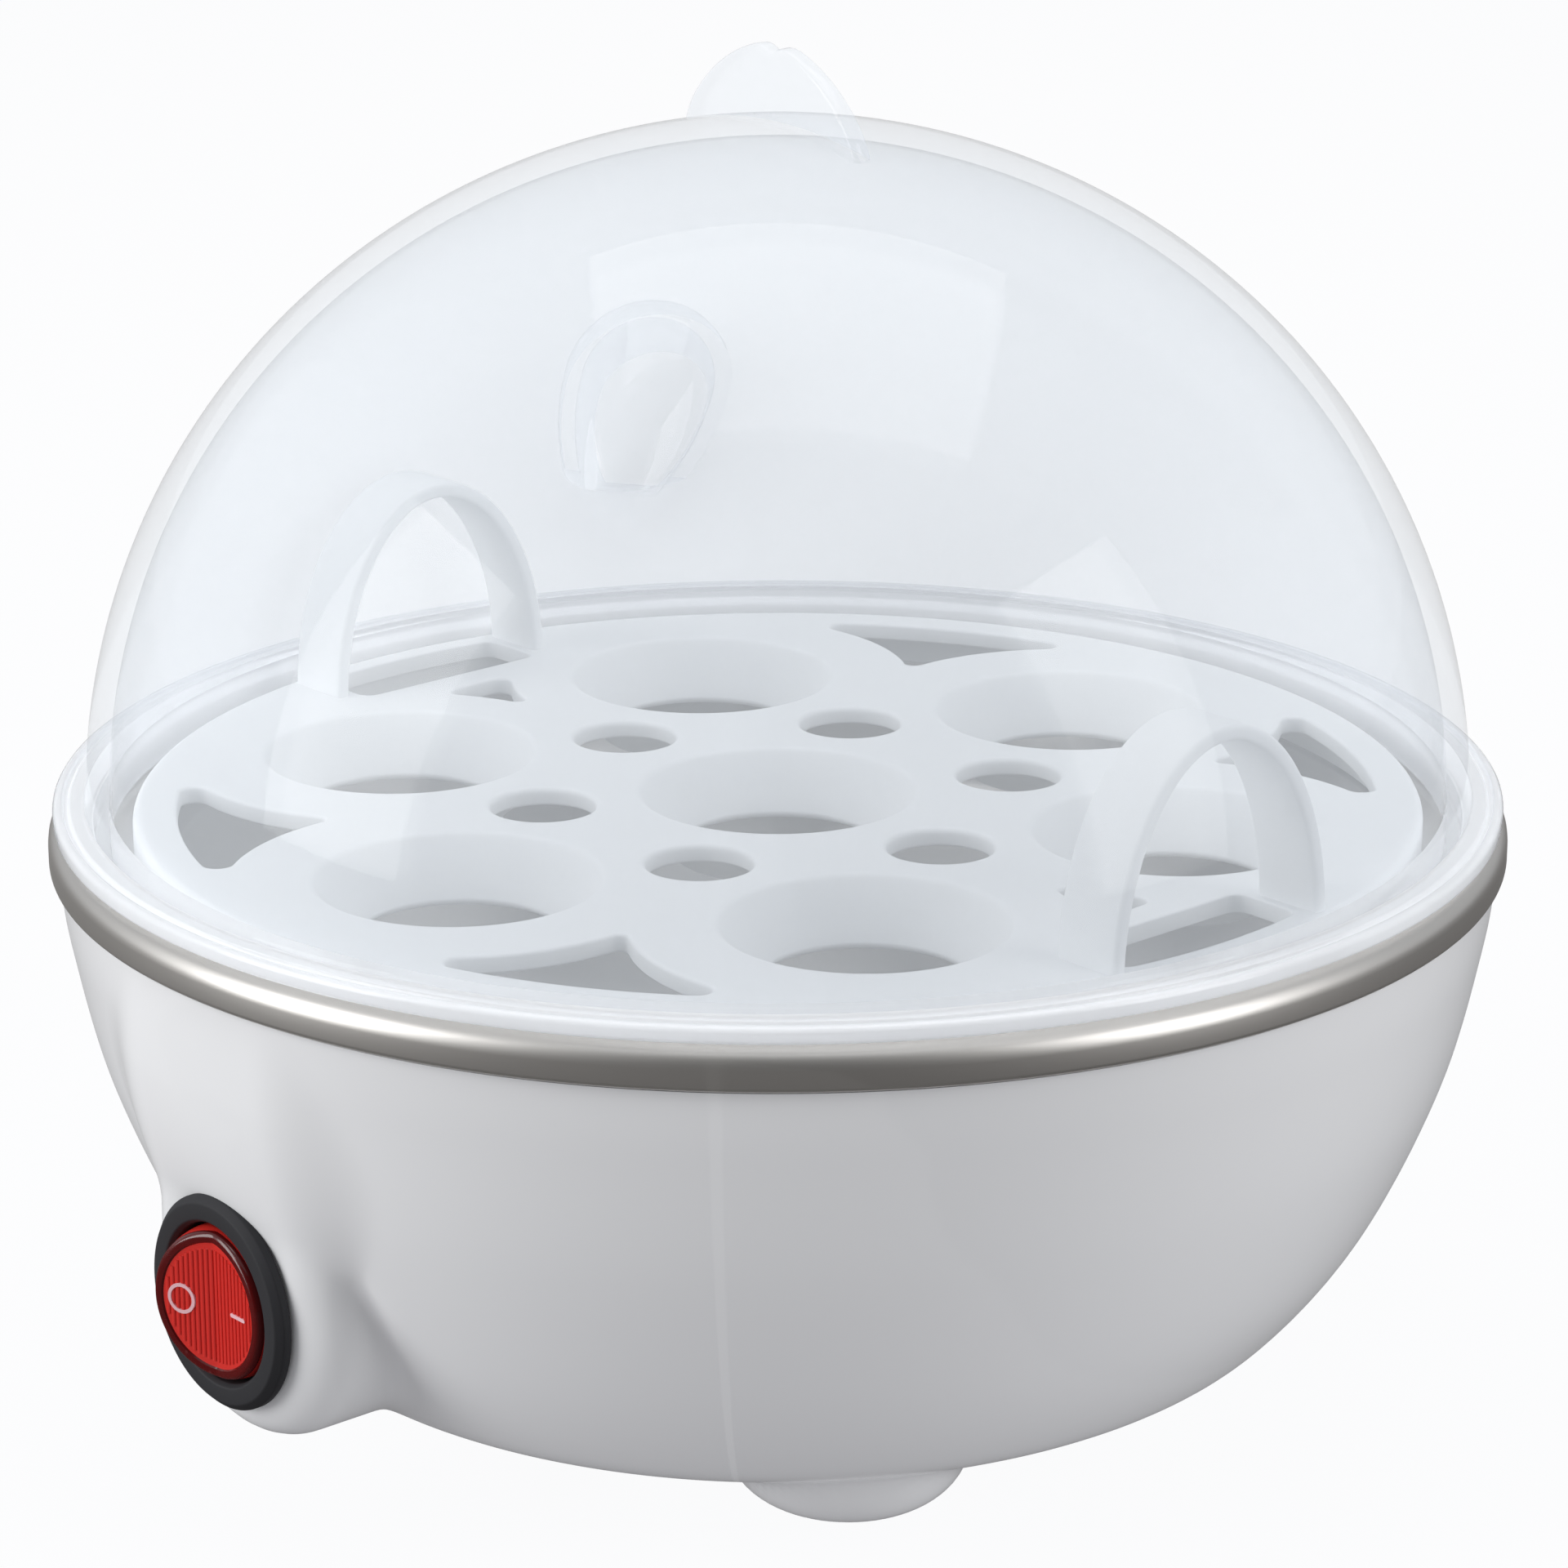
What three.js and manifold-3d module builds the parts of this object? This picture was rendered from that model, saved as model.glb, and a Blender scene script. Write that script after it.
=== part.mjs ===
// Seven-egg cooker: a white plastic bowl with a steel water dish, a lift-out egg rack
// and a clear domed lid. Millimetres, +Z up, origin on the ground under the bowl's axis.
// The rocker switch is at the front (-Y) and the cord inlet at the back (+Y).
import * as THREE from 'three';
import { mergeVertices } from 'three/addons/utils/BufferGeometryUtils.js';
import Module from 'manifold-3d';

const wasm = await Module();
wasm.setup();

// ---------------------------------------------------------------- driving dimensions
const GAP = 0.3; // clearance between neighbouring pieces
const RIM_R = 80; // outside of the rolled steel rim
const RACK_Z = 67; // top face of the egg rack
const ROUND = 40; // sides of a large turned piece
const CUP_SIDES = 20; // sides of an egg seat

const BOWL = { wall: 2.4, floorZ: 5.8, floorR: 47, topZ: RACK_Z - 5.3, topR: 79 };
const FOOT = { ring: 40, radius: 13, padR: 4.2, angles: [-30, 90, 210] };
const POST = { ring: 41, bossR: 6, bossTop: 19, angles: [45, 165, 285] };

const DISH = { sheet: 1, mouthR: 76.4, ledgeR: 68.4, ledgeZ: RACK_Z - 6, floorR: 61, floorZ: RACK_Z - 19 };

const RACK = { radius: 70.8, plate: 2, skirt: 1.8 };
const SEAT = { pitch: 44.9, topR: 15.36, lowR: 10.9, depth: 6.3, first: 1 + 30 };
const STEAM = { pitch: 26.2, radius: 5.8, first: 1 };
const HANDLE = { angles: [1, 181], inner: 59, outer: 68.6, halfWidth: 15.5, height: 23, strap: 2.2 };

const DOME = { outerR: 75.8, outerH: 74.15, wall: 2.5, flangeR: 79.4, flangeTop: 1.6 };
const FIN = { azimuth: -5, half: 15.8, rise: 11.3, base: 72, power: 1.6, notch: 1, thick: 2.2 };
const VENT = {
  azimuth: -56, radius: 48, across: 8.4, above: 9, below: 19, rise: 6.5, wall: 1.7, mouthZ: RACK_Z + 50,
};

const SWITCH = { z: RACK_Z - 39.8, front: 77.2, bezelR: 11.6, barrelR: 9.9, boreR: 8.7, depth: 20, tilt: 10 };
const BLISTER = { half: 15.8, top: 24, topHalf: 15, edge: 3 }; // swelling round the switch
const GLAND = { z: 22, face: 71, bossR: 9.5, holeR: 5.3, wall: 8 };

const degrees = (angle) => (angle * Math.PI) / 180;
const polar = (radius, angle) => [radius * Math.cos(degrees(angle)), radius * Math.sin(degrees(angle))];

// ---------------------------------------------------------------- solids and placing
function closedGeometry(positions, triangles) {
  const geometry = new THREE.BufferGeometry();
  geometry.setAttribute('position', new THREE.Float32BufferAttribute(positions, 3));
  geometry.setIndex(triangles);
  return geometry;
}

// Shared corners merged, slivers dropped, faces turned outward.
function tidy(geometry) {
  const bare = geometry.clone();
  for (const name of Object.keys(bare.attributes)) {
    if (name !== 'position') bare.deleteAttribute(name);
  }
  const merged = mergeVertices(bare, 1e-4);
  const points = merged.attributes.position;
  const kept = [];
  let volume = 0;
  const corner = [new THREE.Vector3(), new THREE.Vector3(), new THREE.Vector3()];
  for (let i = 0; i < merged.index.count; i += 3) {
    const ids = [0, 1, 2].map((k) => merged.index.getX(i + k));
    if (new Set(ids).size < 3) continue;
    ids.forEach((id, k) => corner[k].fromBufferAttribute(points, id));
    volume += corner[0].dot(corner[1].clone().cross(corner[2]));
    kept.push(ids);
  }
  const ordered = kept.flatMap(([a, b, c]) => (volume < 0 ? [a, c, b] : [a, b, c]));
  return closedGeometry(Array.from(points.array), ordered);
}

function solid(geometry) {
  const clean = tidy(geometry);
  const mesh = new wasm.Mesh({
    numProp: 3,
    vertProperties: new Float32Array(clean.attributes.position.array),
    triVerts: new Uint32Array(clean.index.array),
  });
  return new wasm.Manifold(mesh);
}

function fromSolid(body) {
  const mesh = body.getMesh();
  return closedGeometry(Array.from(mesh.vertProperties), Array.from(mesh.triVerts));
}

const join = (first, ...rest) => fromSolid(rest.reduce((sum, next) => sum.add(solid(next)), solid(first)));
const cut = (first, ...rest) =>
  fromSolid(rest.reduce((left, next) => left.subtract(solid(next)), solid(first)));
const common = (first, second) => fromSolid(solid(first).intersect(solid(second)));

const moved = (geometry, x, y, z) => geometry.clone().translate(x, y, z);
const turned = (geometry, angle) => geometry.clone().rotateZ(degrees(angle));
const around = (geometry, radius, angle, z = 0) => {
  const [x, y] = polar(radius, angle);
  return moved(turned(geometry, angle), x, y, z);
};

// Turned piece: profile points are [radius, height].
function turnedPiece(profile, sides = ROUND) {
  const points = profile.map(([r, z]) => new THREE.Vector2(r, z));
  return new THREE.LatheGeometry(points, sides).rotateX(Math.PI / 2);
}

// Upright cylinder, ring or prism between two heights.
function post(radius, low, high, sides = 24, topRadius = radius) {
  return turnedPiece([[0, low], [radius, low], [topRadius, high], [0, high]], sides);
}

function ring(inner, outer, low, high, sides = ROUND) {
  return turnedPiece([[inner, low], [outer, low], [outer, high], [inner, high], [inner, low]], sides);
}

function block(x, y, z, cx, cy, cz) {
  return new THREE.BoxGeometry(x, y, z).translate(cx, cy, cz);
}

// A piece drawn upright, laid down so that its +Z points out of the front of the bowl.
const facingFront = (geometry, out, z) => geometry.clone().rotateX(Math.PI / 2).translate(0, -out, z);
const facingBack = (geometry, out, z) => geometry.clone().rotateX(-Math.PI / 2).translate(0, out, z);

function plateOf(outline, holes, thick, low) {
  const shape = new THREE.Shape(outline.map(([x, y]) => new THREE.Vector2(x, y)));
  for (const hole of holes) {
    shape.holes.push(new THREE.Path(hole.map(([x, y]) => new THREE.Vector2(x, y))));
  }
  return new THREE.ExtrudeGeometry(shape, { depth: thick, bevelEnabled: false }).translate(0, 0, low);
}

// Points on an arc from one angle to another, both ends included.
function arc(cx, cy, radius, from, to, steps) {
  return Array.from({ length: steps + 1 }, (_, k) => {
    const [x, y] = polar(radius, from + ((to - from) * k) / steps);
    return [cx + x, cy + y];
  });
}

const circle = (cx, cy, radius, sides) => arc(cx, cy, radius, 0, 360, sides).slice(0, -1);

// A rod of round section along a smooth line through hand-set points.
function wire(points, radius, steps, sides = 8) {
  const path = new THREE.CatmullRomCurve3(points.map(([x, y, z]) => new THREE.Vector3(x, y, z)));
  const section = new THREE.Shape(circle(0, 0, radius, sides).map(([x, y]) => new THREE.Vector2(x, y)));
  return new THREE.ExtrudeGeometry(section, { steps, extrudePath: path, bevelEnabled: false });
}

// ---------------------------------------------------------------- materials
const finish = (color, roughness, metalness = 0, extra = {}) =>
  new THREE.MeshStandardMaterial({ color, roughness, metalness, ...extra });

const WHITE = finish(0xf1f2f3, 0.28);
const MILKY = finish(0xe9ecee, 0.42);
const CLEAR = finish(0xdfe7f2, 0.05, 0, { transparent: true, opacity: 0.3 });
const STEEL = finish(0xb9b6b0, 0.3, 1);
const ALLOY = finish(0xc4c6c8, 0.45, 1);
const BRASS = finish(0xc9a35a, 0.35, 1);
const BLACK = finish(0x141416, 0.4);
const RED = finish(0xc51f1a, 0.25);
const CERAMIC = finish(0xd8d2c4, 0.6);
const SLEEVE = finish(0xe6dfc9, 0.8);
const GLASS = finish(0xffd9b0, 0.05, 0, { transparent: true, opacity: 0.5 });
const RUBBER = finish(0x1b1b1d, 0.7);
const BROWN = finish(0x6b4325, 0.45);
const BLUE = finish(0x2b55a0, 0.45);
const GREEN = finish(0x5c9a38, 0.45);

const cooker = new THREE.Group();

function add(name, geometry, material) {
  const mesh = new THREE.Mesh(tidy(geometry), material);
  mesh.name = name;
  cooker.add(mesh);
}

// ---------------------------------------------------------------- base shell
// The bowl's side: full at the top and rounding in to a flat floor.
const bowlSide = new THREE.SplineCurve(
  [
    [BOWL.floorR, BOWL.floorZ],
    [52.5, 7.9],
    [59.2, 12],
    [67.4, 23],
    [74.4, 39],
    [78, 54],
    [BOWL.topR, BOWL.topZ],
  ].map(([r, z]) => new THREE.Vector2(r, z)),
).getPoints(9).map((point) => [point.x, point.y]);

// The same side moved inwards by the wall thickness.
function inset(profile, distance) {
  return profile.map(([r, z], k) => {
    const [r0, z0] = profile[Math.max(k - 1, 0)];
    const [r1, z1] = profile[Math.min(k + 1, profile.length - 1)];
    const length = Math.hypot(r1 - r0, z1 - z0);
    return [r - ((z1 - z0) / length) * distance, z + ((r1 - r0) / length) * distance];
  });
}

function bowlShell() {
  const innerSide = inset(bowlSide, BOWL.wall);
  const lipZ = RACK_Z - 2;
  const lip = { outer: 78.5, inner: 76.9 };
  const outer = turnedPiece([
    [0, BOWL.floorZ], ...bowlSide, [lip.outer, BOWL.topZ], [lip.outer, lipZ], [0, lipZ],
  ]);
  const innerFloor = BOWL.floorZ + BOWL.wall;
  const hollow = turnedPiece([
    [0, innerFloor],
    [innerSide[0][0], innerFloor],
    ...innerSide.slice(1, -1),
    [lip.inner, BOWL.topZ - 1],
    [lip.inner, lipZ + 1],
    [0, lipZ + 1],
  ]);

  // Each foot is a rounded bump with a small flat pad.
  const footProfile = [
    [0, 0], [FOOT.padR, 0], [9, 1.3], [12, 3.6], [FOOT.radius, 7], [FOOT.radius, 9], [0, 9],
  ];
  const feet = FOOT.angles.map((angle) => around(turnedPiece(footProfile, 20), FOOT.ring, angle));

  // The switch sits in a blister: round below it, straight-sided above, running up the bowl.
  const { half, top, topHalf, edge } = BLISTER;
  const round = arc(0, 0, half - edge, 180, 360, 10);
  const blisterOutline = new THREE.Shape([...round, [topHalf - edge, top], [edge - topHalf, top]].map(
    ([x, y]) => new THREE.Vector2(x, y)));
  const raised = { depth: 30, bevelThickness: edge, bevelSize: edge, bevelSegments: 2, curveSegments: 1 };
  const blister = new THREE.ExtrudeGeometry(blisterOutline, raised).translate(0, 0, -30 - edge);
  const switchBoss = facingFront(blister, SWITCH.front - 2, SWITCH.z);
  const switchRoom = facingFront(post(12.4, -34, -2.6, 28), SWITCH.front - 2, SWITCH.z);
  const switchHole = facingFront(post(SWITCH.barrelR + GAP, -40, 5, 32), SWITCH.front - 2, SWITCH.z);

  const glandBoss = facingBack(post(GLAND.bossR + 2, -14, 0, 24, GLAND.bossR), GLAND.face, GLAND.z);
  const glandHole = facingBack(post(GLAND.holeR, -20, 5, 24), GLAND.face, GLAND.z);
  const nutRoom = facingBack(post(GLAND.bossR - 0.3, -26, -GLAND.wall, 24), GLAND.face, GLAND.z);

  const bosses = POST.angles.map((angle) =>
    around(post(POST.bossR, innerFloor - 1, POST.bossTop, 20), POST.ring, angle));
  const screwHoles = POST.angles.flatMap((angle) => [
    around(post(2.4, 0, 30, 16), POST.ring, angle),
    around(post(4.4, 0, BOWL.floorZ + 5.2, 20), POST.ring, angle),
  ]);

  const outside = [...feet, switchBoss, glandBoss].reduce((sum, piece) => join(sum, piece), outer);
  const hollowed = cut(outside, hollow, switchRoom);
  const withBosses = bosses.reduce((sum, piece) => join(sum, piece), hollowed);
  return cut(withBosses, ...screwHoles, switchHole, nutRoom, glandHole);
}
add('base_shell', bowlShell(), WHITE);

// ---------------------------------------------------------------- water dish and heater
// One steel pressing: floor, wall, ledge for the rack, and a rim hooked over the bowl.
function waterDish() {
  const s = DISH.sheet;
  const rimTop = RACK_Z - 0.5;
  const inside = [
    [0, DISH.floorZ],
    [DISH.floorR - 3, DISH.floorZ],
    [DISH.floorR, DISH.floorZ + 2],
    [DISH.ledgeR - 1.5, DISH.ledgeZ - 1.2],
    [DISH.ledgeR, DISH.ledgeZ],
    [DISH.mouthR - 2, DISH.ledgeZ],
    [DISH.mouthR - s, DISH.ledgeZ + 1],
    [DISH.mouthR - s, rimTop - 0.8],
    [DISH.mouthR, rimTop],
    [RIM_R - 1.4, rimTop],
    [RIM_R - 0.4, rimTop - 0.7],
    [RIM_R, rimTop - 2],
    [RIM_R, rimTop - 3.1],
    [RIM_R - 0.5, rimTop - 4.5],
  ];
  const outside = [
    [RIM_R - 1.4, rimTop - 4.5],
    [RIM_R - 1, rimTop - 3.1],
    [RIM_R - 1, rimTop - 2],
    [RIM_R - 1.6, rimTop - s],
    [DISH.mouthR + 0.2, rimTop - s],
    [DISH.mouthR, rimTop - 2],
    [DISH.mouthR, DISH.ledgeZ + 0.4],
    [DISH.mouthR - 1.6, DISH.ledgeZ - s],
    [DISH.ledgeR + 0.4, DISH.ledgeZ - s],
    [DISH.ledgeR - 0.5, DISH.ledgeZ - 1.8],
    [DISH.floorR + 0.9, DISH.floorZ + 1.5],
    [DISH.floorR - 2.6, DISH.floorZ - s],
    [0, DISH.floorZ - s],
  ];
  return turnedPiece([...inside, ...outside]);
}
add('heating_plate', waterDish(), STEEL);

const UNDER_DISH = DISH.floorZ - DISH.sheet - GAP;
const SPREADER = { radius: 36, thick: 3 };
const UNDER_SPREADER = UNDER_DISH - SPREADER.thick;
const HEATER = { ring: 30, tube: 3.3, gapAngle: 30 };
const STRAP = { screwY: 17, z: UNDER_SPREADER - GAP };

const strapHoles = [-1, 1].map((side) => moved(post(1.8, 0, 60, 14), 0, side * STRAP.screwY, 0));
const fuseScrewAt = [14.4, 17.6];
const fuseHole = moved(post(1.8, 0, 60, 14), ...fuseScrewAt, 0);
const spreader = post(SPREADER.radius, UNDER_SPREADER, UNDER_DISH, 48);
add('heat_spreader', cut(spreader, ...strapHoles, fuseHole), ALLOY);

const heaterZ = UNDER_SPREADER - GAP - HEATER.tube;
class Horseshoe extends THREE.Curve {
  getPoint(t, target = new THREE.Vector3()) {
    const angle = 270 + HEATER.gapAngle + (360 - 2 * HEATER.gapAngle) * t;
    return target.set(...polar(HEATER.ring, angle), heaterZ);
  }
}
const tubeSection = new THREE.Shape(circle(0, 0, HEATER.tube, 8).map(([x, y]) => new THREE.Vector2(x, y)));
add(
  'heater_tube',
  new THREE.ExtrudeGeometry(tubeSection, { steps: 28, extrudePath: new Horseshoe(), bevelEnabled: false }),
  STEEL,
);

// A cold pin leaves each end of the heater tube.
for (const [name, side] of [['heater_pin_left', -1], ['heater_pin_right', 1]]) {
  const pin = post(1.2, GAP, 7, 10).rotateY(Math.PI / 2).rotateZ(degrees(side * 30 + (side > 0 ? 180 : 0)));
  const [x, y] = polar(HEATER.ring, 270 + side * HEATER.gapAngle);
  add(name, moved(pin, x, y, heaterZ), ALLOY);
}

// Threaded posts under the dish take the screws that come up through the bowl's floor.
const screwTop = POST.bossTop + 9;
POST.angles.forEach((angle, k) => {
  const socket = post(2.3, 0, screwTop + 1, 14);
  const standoff = cut(post(4, POST.bossTop + GAP, UNDER_DISH, 6), socket);
  add(`plate_standoff_${k + 1}`, around(standoff, POST.ring, angle), ALLOY);

  const headLow = BOWL.floorZ + 2.2;
  const headTop = BOWL.floorZ + 5.2 - GAP;
  const recess = block(5, 1, 2.4, 0, 0, headLow);
  const head = cut(post(3.9, headLow, headTop, 18), recess);
  const screw = join(head, post(2, headTop - 0.5, screwTop, 14));
  add(`base_screw_${k + 1}`, around(screw, POST.ring, angle), STEEL);
});

// ---------------------------------------------------------------- thermostat and fuse
const THERMO = { radius: 8.4, cap: 3, body: 7 };
const capTop = UNDER_SPREADER - GAP;
add('thermostat_cap', post(THERMO.radius, capTop - THERMO.cap, capTop, 28), ALLOY);
const bodyTop = capTop - THERMO.cap - GAP;
const bodyLow = bodyTop - THERMO.body;
add('thermostat_body', post(9.4, bodyLow, bodyTop, 28), CERAMIC);
for (const [name, side] of [['thermostat_terminal_left', -1], ['thermostat_terminal_right', 1]]) {
  add(name, block(7, 4.8, 0.8, side * (9.4 + GAP + 3.5), 0, bodyLow + 2), BRASS);
}

function thermostatStrap() {
  const low = bodyLow - GAP - 1;
  const flange = STRAP.z;
  const outline = [
    [-21, flange - 1],
    [-13, flange - 1],
    [-12, low],
    [12, low],
    [13, flange - 1],
    [21, flange - 1],
    [21, flange],
    [12, flange],
    [11, low + 1],
    [-11, low + 1],
    [-12, flange],
    [-21, flange],
  ];
  const bar = plateOf(outline, [], 6, -3).rotateX(Math.PI / 2).rotateZ(Math.PI / 2);
  return cut(bar, ...strapHoles);
}
add('thermostat_strap', thermostatStrap(), STEEL);

function smallScrew(top, low) {
  const head = post(2.4, low, low + 1.8, 16);
  const slot = block(6, 0.8, 1.2, 0, 0, low);
  return join(cut(head, slot), post(1.4, low + 1.2, top, 12));
}
const strapScrewHead = STRAP.z - 1 - GAP - 1.8;
[-1, 1].forEach((side, k) => {
  const screw = smallScrew(UNDER_DISH - 1, strapScrewHead);
  add(`thermostat_screw_${k + 1}`, moved(screw, 0, side * STRAP.screwY, 0), STEEL);
});

const FUSE = { x: 14, y: 18, z: 31, length: 20, clipY: 14 };
const alongY = (geometry, y) => geometry.clone().rotateX(-Math.PI / 2).translate(FUSE.x, y, FUSE.z);
const fuseCan = turnedPiece([[0, -6], [1.1, -6], [1.1, -5], [1.5, -5], [1.5, 5], [0.6, 6], [0, 6]], 14);
add('thermal_fuse', alongY(fuseCan, FUSE.y), STEEL);
add('fuse_sleeve', alongY(ring(1.9, 2.5, -FUSE.length / 2, FUSE.length / 2, 16), FUSE.y), SLEEVE);

// A loop round the sleeve, a leg, and a foot screwed up to the spreader.
function fuseClip() {
  const loop = alongY(ring(2.8, 3.6, -3, 3, 20), FUSE.clipY);
  const legTop = UNDER_SPREADER - GAP;
  const leg = block(1, 6, legTop - FUSE.z - 3, FUSE.x - 2.6, FUSE.clipY, (legTop + FUSE.z + 3) / 2);
  const foot = block(6.2, 9, 1, FUSE.x - 0.3, FUSE.clipY + 1.5, legTop - 0.5);
  const shank = block(1.6, 6, 2, FUSE.x - 2.3, FUSE.clipY, FUSE.z + 2.6);
  const bore = alongY(post(2.8, -4, 4, 20), FUSE.clipY);
  return cut(join(join(join(loop, shank), leg), foot), fuseHole, bore);
}
add('fuse_clip', fuseClip(), STEEL);
const clipScrew = smallScrew(UNDER_DISH - 1, UNDER_SPREADER - GAP - 1 - GAP - 1.8);
add('fuse_clip_screw', moved(clipScrew, ...fuseScrewAt, 0), STEEL);

// Earth stud outside the heater ring, with its ring tag and nut.
const EARTH = { ring: 47, angle: 62 };
add('earth_stud', around(post(2, UNDER_DISH - 8, UNDER_DISH, 14), EARTH.ring, EARTH.angle), STEEL);
const tagZ = UNDER_DISH - 2.2;
const tagPlate = join(post(4.4, tagZ, tagZ + 0.8, 18), block(4, 9, 0.8, 0, 7, tagZ + 0.4));
const tag = cut(tagPlate, post(2.3, 0, 60, 14));
add('earth_tag', around(tag, EARTH.ring, EARTH.angle), BRASS);
const earthNut = cut(post(3.9, tagZ - GAP - 3, tagZ - GAP, 6), post(2.3, 0, 60, 14));
add('earth_nut', around(earthNut, EARTH.ring, EARTH.angle), STEEL);

// ---------------------------------------------------------------- rocker switch
// Drawn upright with the bezel's front at 0 and the inside at negative heights.
const switchPiece = (geometry) => facingFront(geometry, SWITCH.front, SWITCH.z);
const terminalX = [-6, 0, 6];
const floorLow = -SWITCH.depth;

function switchHousing() {
  const bore = SWITCH.boreR;
  const cup = turnedPiece([
    [0, floorLow],
    [SWITCH.barrelR, floorLow],
    [SWITCH.barrelR, -1.7],
    [SWITCH.bezelR, -1.7],
    [SWITCH.bezelR, -0.7],
    [SWITCH.bezelR - 0.7, 0],
    [bore + 0.4, 0],
    [bore, -0.6],
    [bore, floorLow + 2],
    [0, floorLow + 2],
  ], 40);
  const slots = terminalX.map((x) => block(1.6, 5.6, 8, x, 0, floorLow));
  return cut(cup, ...slots);
}
add('switch_housing', switchPiece(switchHousing()), BLACK);

['live', 'common', 'lamp'].forEach((role, k) => {
  const inner = k === 1 ? floorLow + 3.4 : floorLow + 3;
  const blade = block(0.8, 4.8, inner - (floorLow - 8), terminalX[k], 0, (inner + floorLow - 8) / 2);
  add(`switch_terminal_${role}`, switchPiece(blade), BRASS);
});

// The rocker is a ball-sided button with a shallow V front, and turns about an upright pin.
const PIVOT = -2.2;
const ROCKER = { radius: 8.35, valley: 0.25, back: -5.4 };
const rested = (geometry, angle, pivot) => {
  const y = -(SWITCH.front + pivot);
  return geometry.clone().translate(0, -y, 0).rotateZ(degrees(angle)).translate(0, y, 0);
};

function rockerButton() {
  const ball = new THREE.SphereGeometry(ROCKER.radius, 24, 14).translate(0, 0, PIVOT);
  const rise = 12 * Math.tan(degrees(SWITCH.tilt));
  const outline = [
    [-12, ROCKER.back], [12, ROCKER.back], [12, ROCKER.valley + rise], [0, ROCKER.valley],
    [-12, ROCKER.valley + rise],
  ];
  const wedge = plateOf(outline, [], 24, -12).rotateX(Math.PI / 2);
  const button = common(ball, wedge);
  const pinHole = post(1.1, -12, 12, 14).rotateX(Math.PI / 2).translate(0, 0, PIVOT);
  const stem = post(1.9, ROCKER.back - 3, ROCKER.back + 1, 14);
  return cut(join(button, stem), pinHole);
}
add('switch_rocker', rested(switchPiece(rockerButton()), SWITCH.tilt, PIVOT), RED);
const pivotPin = post(0.8, -8.2, 8.2, 12).rotateX(Math.PI / 2).translate(0, 0, PIVOT);
add('rocker_pin', switchPiece(pivotPin), STEEL);

const plunger = post(1.3, ROCKER.back - 6.2, ROCKER.back - 3 - GAP, 12);
add('rocker_plunger', rested(switchPiece(plunger), SWITCH.tilt, PIVOT), CERAMIC);

// A see-saw blade rocks on the common terminal, opposite to the rocker.
const BLADE_PIVOT = floorLow + 5;
const bladeBody = block(13, 3.4, 0.6, 0, 0, BLADE_PIVOT);
add('contact_blade', rested(switchPiece(bladeBody), -SWITCH.tilt * 0.7, BLADE_PIVOT), BRASS);
add('neon_lamp', switchPiece(moved(post(1.5, -15.5, -9, 14), 0, -5.6, 0)), GLASS);

// ---------------------------------------------------------------- cord inlet
const glandPiece = (geometry) => facingBack(geometry, GLAND.face, GLAND.z);
const bush = turnedPiece([
  [3.4, -12], [5, -12], [5, GAP], [8, GAP], [8, 1.6], [6.6, 3], [4.2, 3], [3.4, 2.2], [3.4, -12],
], 28);
add('cord_bush', glandPiece(bush), RUBBER);
const nutTop = -GLAND.wall - GAP;
const lockNut = cut(post(8.6, nutTop - 3, nutTop, 6), post(GLAND.holeR, -20, 5, 24));
add('bush_lock_nut', glandPiece(lockNut), BLACK);

// ---------------------------------------------------------------- internal leads
// Each runs on its real route and stops just short of what it joins.
const behind = GLAND.face - 13;
const termOut = SWITCH.front - SWITCH.depth - 8.5;
const switchEnd = (k) => [terminalX[k], -termOut + 0.4, SWITCH.z];
const termZ = bodyLow + 2;
const FUSE_END = FUSE.length / 2 + 0.6;
const LEADS = [
  ['lead_supply_live', BROWN, [
    [-2, behind, 22], [-6, 50, 18], [-27, 24, 14], [-27, -8, 14], [-14, -34, 20], switchEnd(0),
  ]],
  ['lead_supply_neutral', BLUE, [
    [2, behind, 22], [4, 50, 21], [12, 42, 24], [14, 34, 29], [FUSE.x, FUSE.y + FUSE_END, FUSE.z],
  ]],
  ['lead_earth', GREEN, [[0, behind, 24.6], [1, 54, 30], [3, 50.5, 38], [10, 47.8, 44.5]]],
  ['lead_fuse_heater', BLUE, [
    [FUSE.x, FUSE.y - FUSE_END, FUSE.z], [13, 0, 28.5], [11, -12, 29], [8, -26, 33], [5, -31.6, 38.4],
    [8.3, -29.9, 40.1],
  ]],
  ['lead_thermostat', BROWN, [
    switchEnd(1), [0, -43, 26.6], [8, -28, 25], [20, -14, 29], [23, -2, 34], [17.5, 0, termZ],
  ]],
  ['lead_heater', BROWN, [
    [-17.5, 0, termZ], [-22.5, -1.5, 34], [-21, -13, 32], [-11, -26, 33.6], [-5, -31.6, 38.4],
    [-8.3, -29.9, 40.1],
  ]],
];
for (const [name, material, route] of LEADS) {
  add(name, wire(route, 1.1, 14), material);
}

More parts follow.
